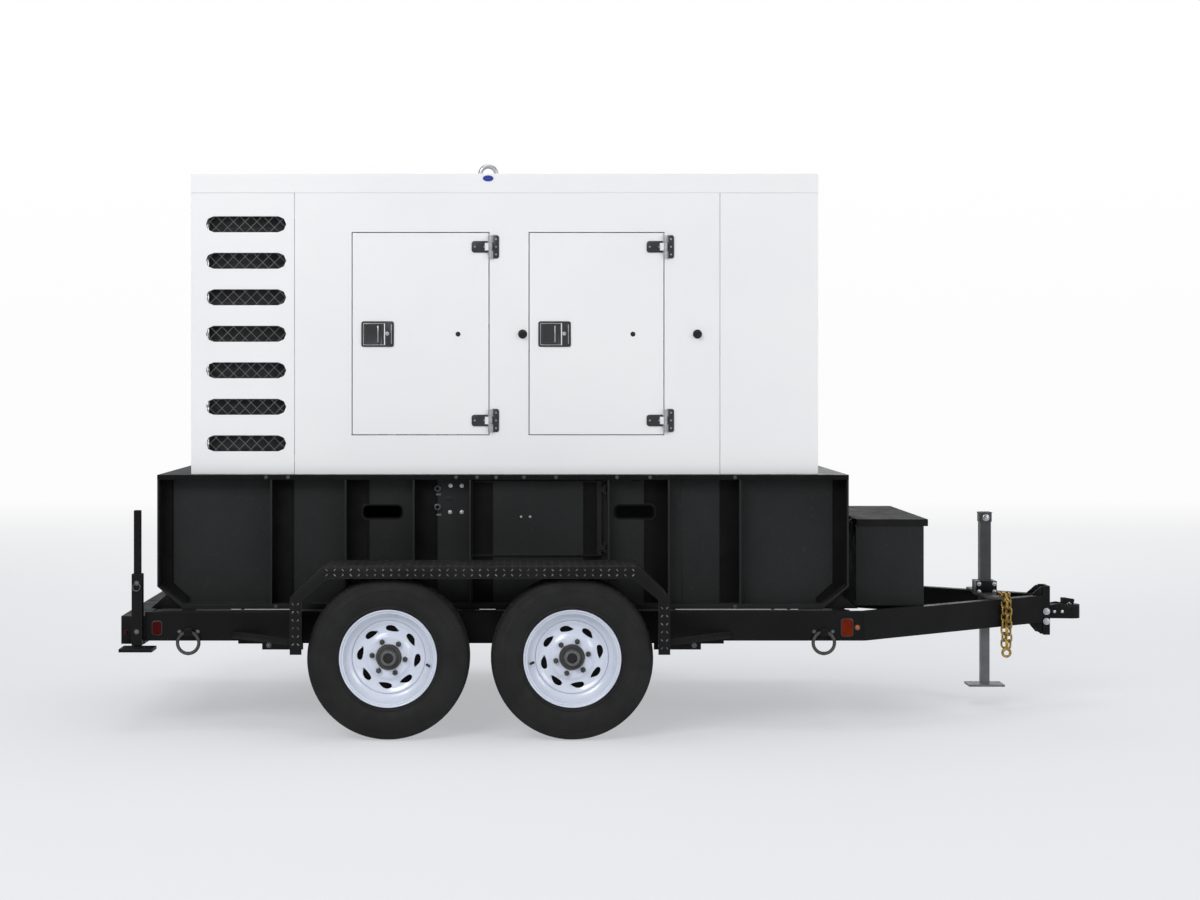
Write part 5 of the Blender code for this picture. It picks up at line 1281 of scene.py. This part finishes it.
def buildFrame(look):
    buildRings(look)
    face = -look["face"]
    bezels = []
    for name, x, z, wide, tall, coat in look["reflectors"]:
        bezels.append(roundPlate("bezel", (x - wide / 2 - 0.004, face - 0.0040, z - tall / 2 - 0.004),
                                 (x + wide / 2 + 0.004, face, z + tall / 2 + 0.004), 0.015))
        lens = roundPlate("lens", (x - wide / 2, face - 0.0075, z - tall / 2),
                          (x + wide / 2, face - 0.001, z + tall / 2), 0.012)
        pressIn(lens, lambda side: side.normal.y < -0.99 and side.area > wide * tall * 0.6,
                (0.003, 0), (0.0006, -0.0008))
        keepBoth(lens, name + "_reflector", coat)
    keepBoth(joinShapes("bezels", bezels), "reflector_bezels", "mouldedBlack")
    for name, x, z, r, coat in look["lamps"]:
        lamp = turnProfile(name, [(0.0, 0.0), (r, 0.0), (r, -0.0040), (r * 0.86, -0.0082),
                                  (r * 0.55, -0.0108), (r * 0.2, -0.0118), (0.0, -0.0119)],
                           centre=(x, face, z), steps=28, loop=False)
        keepBoth(lamp, name, coat)
        ring = turnProfile("grommet", [(r * 0.9, 0.0), (r + 0.0045, 0.0), (r + 0.0045, -0.0020),
                                       (r + 0.0030, -0.0040), (r + 0.0008, -0.0042), (r * 0.9, -0.0030)],
                           centre=(x, face, z), steps=28)
        keepBoth(ring, name + "_grommet", "softRubber")
    plates = []
    for outline in look["hangers"]:
        corners = [(x, face + 0.0015, look["railZ"] + z + 0.001) for x, z in outline]
        plates.append(softenEdges(cutPlate("hanger", corners, (0, 0.008, 0)), 0.0012))
    keepBoth(joinShapes("hangers", plates), "hanger_plates", "frameBlack")
    low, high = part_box("rear_bumper")
    cap = addBlock("cap", (low.x, face, low.z + 0.0005), (low.x + 0.1025, face + 0.004, low.z + 0.1215),
                   0.0012)
    keepBoth(cap, "bumper_end_cap", "frameBlack")
    bolts = [addBolt("bolt", (x, face + 0.0015, look["railZ"] + z), across=0.014)
             for x, z in look["hangerBolts"]]
    for node in ("tie_down_rear_right", "tie_down_front_right"):
        middle = middleOf(node)
        for step in (-look["ringBolts"], look["ringBolts"]):
            bolts.append(addBolt("bolt", (middle.x + step, face, look["railZ"] + 0.040), across=0.010,
                                 tall=0.005))
    keepBoth(joinShapes("frame_bolts", bolts), "frame_bolts", "dullZinc")

    # stabilizers: lock bolt and pull pin
    low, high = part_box("stabilizer_sleeve_right")
    middle = (low + high) / 2
    pins = [addBolt("bolt", (middle.x, low.y, high.z - 0.040), across=0.013),
            addBolt("bolt", (middle.x, low.y, low.z + 0.060), across=0.013)]
    pins.append(addHoop(around=36, through=10, ring=look["pullRing"], wire=look["pullWire"],
                        location=(middle.x, low.y - 0.0075, high.z - 0.057),
                        rotation=(math.radians(80), 0, 0)))
    keepBoth(joinShapes("stabilizer_pins", pins), "stabilizer_pins", "dullZinc")
    print("frame fittings made")


buildFrame(frameLook)


# tongue: jack, bracket, chain, coupler
tongueLook = {
    "capTall": 0.044, "capHalf": 0.0290, "blockTall": 0.0545, "blockHalf": 0.047, "boltOut": 0.036,
    "blockTop": 0.579, "clampAt": 0.0385, "clampHalf": 0.0075, "legRoom": 0.0235,
    "holeStart": 0.016, "holeStep": 0.047, "boltHoles": (1, 2), "boltAcross": 0.019,
    "linkWide": 0.0178, "linkStretch": 0.013, "linkWire": 0.0047, "chainAt": (1.783, 1.806),
    "off": 0.0145, "chainThick": 0.018, "bend": 0.012,
    "hookRing": 0.0180, "hookWire": 0.0058, "loopRing": 0.0110, "loopWire": 0.0012,
}


def makeLink(look):
    # a welded ring pulled out to an oblong, standing in the X-Z plane
    link = addHoop(around=20, through=8, ring=look["linkWide"] - look["linkWire"], wire=look["linkWire"])
    for sign in (1, -1):
        pickCorners(link, lambda corner: corner.co.z * sign > 0.0001)
        bpy.ops.transform.translate(value=(0, 0, sign * look["linkStretch"] / 2))
        bpy.ops.object.mode_set(mode="OBJECT")
    return link


def alongPath(path, pitch, shift=0.0):
    # places and directions at equal steps along a bent line
    spots, travelled, wanted = [], 0.0, shift
    for start, end in zip(path, path[1:]):
        start, end = Vector(start), Vector(end)
        step = end - start
        while wanted <= travelled + step.length:
            spots.append((start + step.normalized() * (wanted - travelled), step.normalized()))
            wanted += pitch
        travelled += step.length
    return spots


def buildChain(look):
    link = makeLink(look)
    low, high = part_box("safety_chain")
    off, thick, r = look["off"], look["chainThick"], look["bend"]
    outer, inner, top = low.y + thick - off, high.y - thick + off, high.z - thick + off
    pitch = 2 * (look["linkWide"] - look["linkWire"]) + look["linkStretch"] - 2 * look["linkWire"] + 0.0008
    links = []
    for strand, x in enumerate(look["chainAt"]):
        path = [(x, inner + 0.001, 0.400), (x, inner, top - r), (x, inner - r, top), (x, outer + r, top),
                (x, outer, top - r), (x, outer, 0.292 + 0.012 * strand)]
        for number, (spot, way) in enumerate(alongPath(path, pitch, 0.004 * strand)):
            turn = Vector((0, 0, 1)).rotation_difference(way)
            twist = Matrix.Rotation(math.radians(45 if (number + strand) % 2 else -45), 4, way)
            made = copyShape(link, "link", turn=(0, 0, 0))
            made.matrix_world = Matrix.Translation(spot) @ twist @ turn.to_matrix().to_4x4()
            links.append(settle(made))
    end = Vector(((look["chainAt"][0] + look["chainAt"][1]) / 2, outer, 0.268))
    # slip hook: most of a ring, drawn out at its shank
    hook = addHoop(around=32, through=12, ring=look["hookRing"], wire=look["hookWire"], location=end,
                   rotation=(math.radians(90), 0, 0))
    bpy.ops.object.mode_set(mode="EDIT")
    bpy.ops.mesh.select_all(action="SELECT")
    bpy.ops.mesh.bisect(plane_co=end + Vector((0.004, 0, 0.004)), plane_no=Vector((-1, 0, 1)).normalized())
    bpy.ops.object.mode_set(mode="OBJECT")
    pickFaces(hook, lambda side: (side.center - end).z > 0.004 and abs((side.center - end).x) < 0.010)
    bpy.ops.transform.resize(value=(1.0, 1.25, 1.25), center_override=tuple(end + Vector((0, 0, 0.018))))
    bpy.ops.object.mode_set(mode="OBJECT")
    tidyNormals(hook)
    latch = roundPlate("latch", (end.x - 0.020, end.y - 0.004, end.z + 0.001),
                       (end.x - 0.015, end.y + 0.004, end.z + 0.017), 0.002)
    dropShapes(link)
    chain = keep(joinShapes("linked_chain", links + [hook, latch]), "goldZinc", angle=50)
    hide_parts("safety_chain")


def buildTongue(look):
    low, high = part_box("jack_housing")
    middle = (low + high) / 2
    half = look["capHalf"]
    cap = roundPlate("cap", (middle.x - half, -half, high.z - look["capTall"]),
                     (middle.x + half, half, high.z + 0.0015), 0.006, axis=2)
    # the leg runs up inside it
    room = look["legRoom"]
    cutAway(cap, addBlock("room", (middle.x - room, -room, high.z - look["capTall"] - 0.01),
                          (middle.x + room, room, high.z - 0.0125), 0))
    pressIn(cap, lambda side: side.normal.z > 0.99 and side.area > 0.001 and side.center.z > high.z,
            (0.006, 0), (0.002, -0.003))
    keep(cap, "tubeGrey")
    boss = turnProfile("boss", [(0.0, 0.0), (0.016, 0.0), (0.016, -0.0030), (0.0125, -0.0045),
                                (0.0110, -0.0140), (0.0070, -0.0155), (0.0, -0.0155)],
                       centre=(middle.x, -half, high.z - 0.024), steps=28, loop=False)
    slot = addBlock("slot", (middle.x - 0.012, -half - 0.0175, high.z - 0.0255),
                    (middle.x + 0.012, -half - 0.0120, high.z - 0.0225), 0.0010)
    keep(joinShapes("jack_crank_stub", [boss, slot]), "zincPlate")
    # clamp block with its bolts
    wide = look["blockHalf"]
    top, clampAt, clampHalf = look["blockTop"], look["clampAt"], look["clampHalf"]
    clamps = []
    for sign in (-1, 1):
        beside = sign * clampAt
        clamp = addBlock("clamp", (middle.x - wide - 0.001, beside - clampHalf, top - look["blockTall"]),
                         (middle.x + wide + 0.001, beside + clampHalf, top + 0.0012), 0)
        clamps.append(softenEdges(clamp, 0.002))
    keep(joinShapes("jack_clamp", clamps), "frameBlack")
    bolts = []
    for sign in (-1, 1):
        for z in (top - 0.012, top - 0.048):
            for way in (-1, 1):
                bolts.append(addBolt("bolt", (middle.x + sign * look["boltOut"], way * 0.0455, z),
                                     outward=(0, way, 0), across=0.012, tall=0.007))
    low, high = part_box("coupler_bracket")
    x = (low.x + high.x) / 2
    for number in look["boltHoles"]:
        z = low.z + look["holeStart"] + look["holeStep"] * number
        for sign in (-1, 1):
            bolts.append(addBolt("bolt", (x, sign * high.y, z), outward=(0, sign, 0),
                                 across=look["boltAcross"], tall=0.010))
    low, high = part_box("coupler")
    for place in (low.x + 0.022, low.x + 0.058):
        for sign in (-1, 1):
            bolts.append(addBolt("bolt", (place, sign * high.y, low.z + 0.034), outward=(0, sign, 0),
                                 across=0.013, tall=0.008))
    keep(joinShapes("tongue_bolts", bolts), "zincPlate")

    # gusset plates from the nose up and down to the bracket
    low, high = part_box("coupler_bracket")
    plates = []
    for sign in (-1, 1):
        for edge, tip in ((0.5135, high.z - 0.004), (0.3865, low.z + 0.004)):
            outline = [(low.x - 0.058, sign * 0.040, edge), (low.x + 0.001, sign * 0.040, edge),
                       (low.x + 0.001, sign * 0.040, tip), (low.x - 0.012, sign * 0.040, tip)]
            plates.append(softenEdges(cutPlate("gusset", outline, (0, sign * 0.006, 0)), 0.001))
    keep(joinShapes("nose_gussets", plates), "frameBlack")

    # cheeks and socket dome of the coupler
    low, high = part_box("coupler")
    cheeks = []
    for sign in (-1, 1):
        outline = [(low.x + 0.002, low.z + 0.003), (low.x + 0.002, low.z + 0.064),
                   (low.x + 0.050, low.z + 0.072), (low.x + 0.092, low.z + 0.066),
                   (low.x + 0.122, low.z + 0.052), (low.x + 0.132, low.z + 0.034),
                   (low.x + 0.122, low.z + 0.003)]
        cheek = cutPlate("cheek", [(x, sign * (high.y - 0.001), z) for x, z in outline], (0, sign * 0.005, 0))
        cheeks.append(softenEdges(cheek, 0.0016))
    for place, r in ((low.x + 0.108, 0.0085), (low.x + 0.030, 0.0075)):
        cheeks.append(turnProfile("boss", [(0.0, -0.0495), (r, -0.0495), (r + 0.002, -0.0460),
                                           (r + 0.002, 0.0460), (r, 0.0495), (0.0, 0.0495)],
                                  centre=(place, 0, low.z + 0.050), steps=24, loop=False))
    keep(joinShapes("coupler_cheeks", cheeks), "frameBlack")

    # latch pin with its wire ring
    low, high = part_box("coupler_latch")
    pin = turnProfile("pin", [(0.0, -0.026), (0.0032, -0.026), (0.0036, -0.025), (0.0036, 0.025),
                              (0.0032, 0.026), (0.0, 0.026)], centre=(low.x + 0.030, 0, low.z + 0.0085),
                      steps=18, loop=False)
    loop = addHoop(around=28, through=8, ring=look["loopRing"], wire=look["loopWire"],
                   location=(low.x + 0.030, -0.0245, low.z - 0.002), rotation=(math.radians(75), 0, 0.3))
    keep(joinShapes("latch_pin", [pin, loop]), "zincPlate", "coupler_lever")
    buildChain(look)
    print("tongue fittings made")


buildTongue(tongueLook)

# behind the doors: linings, control panel, engine, alternator, radiator
insideLook = {
    "liningIn": 0.050, "panelOut": 0.0035, "runner": 0.034, "liningThick": 0.005, "cells": 7, "pad": 0.0035,
    "screen": (0.165, 0.105), "keys": 6, "sockets": 3, "filter": 0.044, "starter": 0.052, "ribs": 7,
    "fins": 62, "shroud": 0.276,
}


def buildLinings(look):
    for name in ("door_rear", "door_front"):
        low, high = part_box(name + "_right")
        bodies = [f"service_door_{name[5:]}_{side}" for side in sides]
        edge = look["liningIn"]
        lining = addBlock("lining", (low.x + edge, high.y, low.z + edge),
                          (high.x - edge, high.y + look["liningThick"], high.z - edge), 0)
        pickFaces(lining, lambda side: side.normal.y > 0.9)
        bpy.ops.mesh.subdivide(number_cuts=look["cells"])
        bpy.ops.mesh.inset(thickness=0.0035, depth=0, use_individual=True)
        bpy.ops.mesh.inset(thickness=0.0070, depth=look["pad"], use_individual=True)
        bpy.ops.mesh.inset(thickness=0.0090, depth=look["pad"] * 0.3, use_individual=True)
        bpy.ops.object.mode_set(mode="OBJECT")
        keepBoth(lining, name + "_lining", "foamLining", bodies)
        pins = [addBolt("pin", (x, high.y, z), outward=(0, 1, 0), across=0.010, tall=0.002)
                for x in (low.x + edge * 0.6, (low.x + high.x) / 2, high.x - edge * 0.7)
                for z in (low.z + edge * 0.6, high.z - edge * 0.6)]
        keepBoth(joinShapes("pins", pins), name + "_lining_pins", "zincPlate", bodies)


def buildControls(look):
    low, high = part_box("control_panel")
    face, middle = low.y, (low.x + high.x) / 2
    seat = face - look["panelOut"]        # the fittings sit on the plates
    plates = [roundPlate("plate", (low.x + 0.012, face - 0.004, high.z - 0.400),
                         (high.x - 0.012, face, high.z - 0.014), 0.012),
              roundPlate("plate", (low.x + 0.012, face - 0.004, low.z + 0.020),
                         (high.x - 0.012, face, high.z - 0.414), 0.012)]
    keep(joinShapes("panel_plates", plates), "machineGrey")
    wide, tall = look["screen"]
    top = high.z - 0.045
    bezel = roundPlate("bezel", (middle - wide / 2 - 0.022, face - 0.0100, top - tall - 0.022),
                       (middle + wide / 2 + 0.022, face - 0.003, top + 0.012), 0.012)
    glass = roundPlate("glass", (middle - wide / 2, face - 0.0115, top - tall),
                       (middle + wide / 2, face - 0.008, top), 0.004)
    keep(bezel, "mouldedBlack")
    keep(glass, "chrome")
    keys, row = [], top - tall - 0.048
    for number in range(look["keys"]):
        x = middle + (number - (look["keys"] - 1) / 2) * 0.034
        keys.append(turnProfile("key", [(0.0, 0.0), (0.0115, 0.0), (0.0115, -0.0050), (0.0100, -0.0070),
                                        (0.0070, -0.0066), (0.0, -0.0062)], centre=(x, seat, row), steps=20,
                                loop=False))
    keep(joinShapes("panel_keys", keys), "softRubber")
    stop = turnProfile("stop", [(0.0, 0.0), (0.0120, 0.0), (0.0120, -0.0040), (0.0200, -0.0050),
                                (0.0215, -0.0070), (0.0180, -0.0095), (0.0090, -0.0108), (0.0, -0.0110)],
                       centre=(high.x - 0.058, seat, high.z - 0.330), steps=32, loop=False)
    keep(stop, "lensRed")
    ring = turnProfile("ring", [(0.0125, 0.0), (0.0300, 0.0), (0.0300, -0.0015), (0.0285, -0.0025),
                                (0.0125, -0.0025)], centre=(high.x - 0.058, seat, high.z - 0.330), steps=32)
    keep(ring, "lensAmber")
    breaker = [roundPlate("breaker", (low.x + 0.045, face - 0.011, high.z - 0.385),
                          (low.x + 0.150, face - 0.003, high.z - 0.255), 0.006),
               roundPlate("lever", (low.x + 0.086, face - 0.0150, high.z - 0.330),
                          (low.x + 0.109, face - 0.010, high.z - 0.300), 0.004)]
    keep(joinShapes("main_breaker", breaker), "mouldedBlack")
    covers, studs = [], []
    for number in range(look["sockets"]):
        place = (low.x + 0.090 + number * 0.120, seat, low.z + 0.330)
        covers.append(turnProfile("socket", [(0.0, -0.0030), (0.0260, -0.0030), (0.0270, -0.0100),
                                             (0.0330, -0.0100), (0.0340, -0.0030), (0.0400, -0.0022),
                                             (0.0400, 0.0), (0.0, 0.0)], centre=place, steps=32, loop=False))
        covers.append(addBlock("hinge", (place[0] - 0.016, place[1] - 0.009, place[2] + 0.033),
                               (place[0] + 0.016, place[1], place[2] + 0.046), 0.002))
    for number in range(4):
        x = low.x + 0.075 + number * 0.090
        studs.append(addBolt("stud", (x, face - 0.0085, low.z + 0.170), across=0.026, tall=0.0045))
        covers.append(turnProfile("base", [(0.0, 0.0), (0.0300, 0.0), (0.0300, -0.0040), (0.0270, -0.0055),
                                           (0.0, -0.0055)], centre=(x, seat, low.z + 0.170), steps=28,
                                  loop=False))
    keep(joinShapes("panel_sockets", covers), "mouldedBlack")
    keep(joinShapes("panel_studs", studs), "zincPlate")


def buildMachine(look):
    low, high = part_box("engine")
    head = roundPlate("head", (low.x + 0.070, -0.105, high.z - 0.004),
                      (high.x - 0.180, 0.105, high.z + 0.085), 0.030, axis=0)
    ribs = [head]
    for number in range(look["ribs"]):
        x = low.x + 0.100 + number * (high.x - low.x - 0.320) / (look["ribs"] - 1)
        ribs.append(roundPlate("rib", (x, -0.109, high.z), (x + 0.010, 0.109, high.z + 0.090), 0.030, axis=0,
                               soft=0.0015))
    side = low.y
    for number in range(3):
        x = low.x + 0.060 + number * 0.150
        ribs.append(roundPlate("cover", (x, side - 0.016, low.z + 0.200),
                               (x + 0.130, side + 0.004, low.z + 0.420), 0.016))
    sump = roundPlate("sump", (low.x + 0.050, side - 0.006, low.z + 0.006),
                      (high.x - 0.120, side + 0.004, low.z + 0.150), 0.012)
    keep(joinShapes("engine_castings", ribs + [sump]), "engineGreen")
    bolts = []
    for number in range(3):
        x = low.x + 0.060 + number * 0.150
        bolts += [addBolt("bolt", (x + a, side - 0.016, low.z + b), across=0.013) for a in (0.014, 0.116)
                  for b in (0.216, 0.310, 0.404)]
    bolts += [addBolt("bolt", (low.x + 0.080 + n * 0.075, side - 0.006, low.z + 0.132), across=0.011)
              for n in range(6)]
    keep(joinShapes("engine_bolts", bolts), "zincPlate")
    r = look["filter"]
    cans = [turnProfile("can", [(0.0, 0.0), (r - 0.010, 0.0), (r, 0.010), (r, 0.118), (r - 0.004, 0.126),
                                (r - 0.004, 0.134), (r + 0.003, 0.136), (r + 0.003, 0.150), (0.0, 0.150)],
                        centre=(low.x + 0.150 + n * 0.115, side - 0.054, low.z + 0.225), axis="Z", steps=32,
                        loop=False) for n in range(2)]
    keep(joinShapes("engine_filters", cans), "machineGrey")
    r = look["starter"]
    body = [turnProfile("starter", [(0.0, 0.0), (r - 0.008, 0.0), (r, 0.008), (r, 0.150), (r + 0.006, 0.152),
                                    (r + 0.006, 0.165), (r - 0.012, 0.172), (r - 0.016, 0.230), (0.0, 0.232)],
                        centre=(low.x + 0.010, side - 0.050, low.z + 0.105), axis="X", steps=36, loop=False),
            turnProfile("solenoid", [(0.0, 0.0), (0.026, 0.0), (0.030, 0.004), (0.030, 0.108), (0.024, 0.114),
                                     (0.010, 0.116), (0.010, 0.130), (0.0, 0.130)],
                        centre=(low.x + 0.030, side - 0.050, low.z + 0.180), axis="X", steps=28, loop=False)]
    keep(joinShapes("starter_motor", body), "blackPowder")
    r = look["runner"]
    runner = [turnProfile("pipe", [(0.0, 0.0), (r - 0.006, 0.0), (r, 0.006), (r, 0.440), (r - 0.006, 0.446),
                                   (0.0, 0.446)], centre=(low.x + 0.060, side - 0.018, high.z - 0.045),
                          axis="X", steps=32, loop=False)]
    for number in range(4):
        x = low.x + 0.110 + number * 0.115
        runner.append(turnProfile("port", [(0.0, 0.0), (0.040, 0.0), (0.040, 0.008), (0.030, 0.012),
                                           (0.028, 0.050), (0.0, 0.050)],
                                  centre=(x, side - 0.048, high.z - 0.045), axis="Y", steps=28, loop=False))
    keep(joinShapes("manifold", runner), "heatSteel")

    low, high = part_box("alternator")
    box = roundPlate("box", (low.x + 0.090, -0.130, high.z - 0.030), (high.x - 0.110, 0.130, high.z + 0.150),
                     0.016, axis=1)
    bars = [box]
    for number in range(9):
        z = low.z + 0.150 + number * 0.022
        bars.append(addBlock("louvre", (low.x + 0.060, low.y - 0.008, z),
                             (low.x + 0.200, low.y + 0.004, z + 0.010), 0.002))
    keep(joinShapes("alternator_covers", bars), "machineGrey")

    low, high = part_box("radiator")
    fin = addBlock("fins", (low.x - 0.006, low.y + 0.040, low.z + 0.080),
                   (low.x + 0.001, high.y - 0.040, low.z + 0.084), 0.0008, 1)
    rows = fin.modifiers.new("rows", "ARRAY")
    rows.use_relative_offset, rows.use_constant_offset = False, True
    rows.constant_offset_displace = (0, 0, (high.z - low.z - 0.16) / look["fins"])
    rows.count = look["fins"]
    bpy.ops.object.modifier_apply(modifier=rows.name)
    keep(fin, "coreAlloy")
    tanks = [roundPlate("tank", (low.x - 0.012, low.y - 0.004, z),
                        (high.x + 0.004, high.y + 0.004, z + 0.078), 0.012, axis=1)
             for z in (low.z - 0.001, high.z - 0.074)]
    fan = middleOf("cooling_fan")
    r = look["shroud"]
    hoop = turnProfile("shroud", [(r, -0.018), (r + 0.004, -0.018), (r + 0.004, 0.020),
                                  (r + 0.040, low.x - fan.x - 0.008), (r + 0.036, low.x - fan.x - 0.008),
                                  (r, 0.022)], centre=tuple(fan), axis="X", steps=64)
    keep(joinShapes("radiator_tanks", tanks + [hoop]), "blackPowder")


buildLinings(insideLook)
buildControls(insideLook)
buildMachine(insideLook)
print("inside dressed")
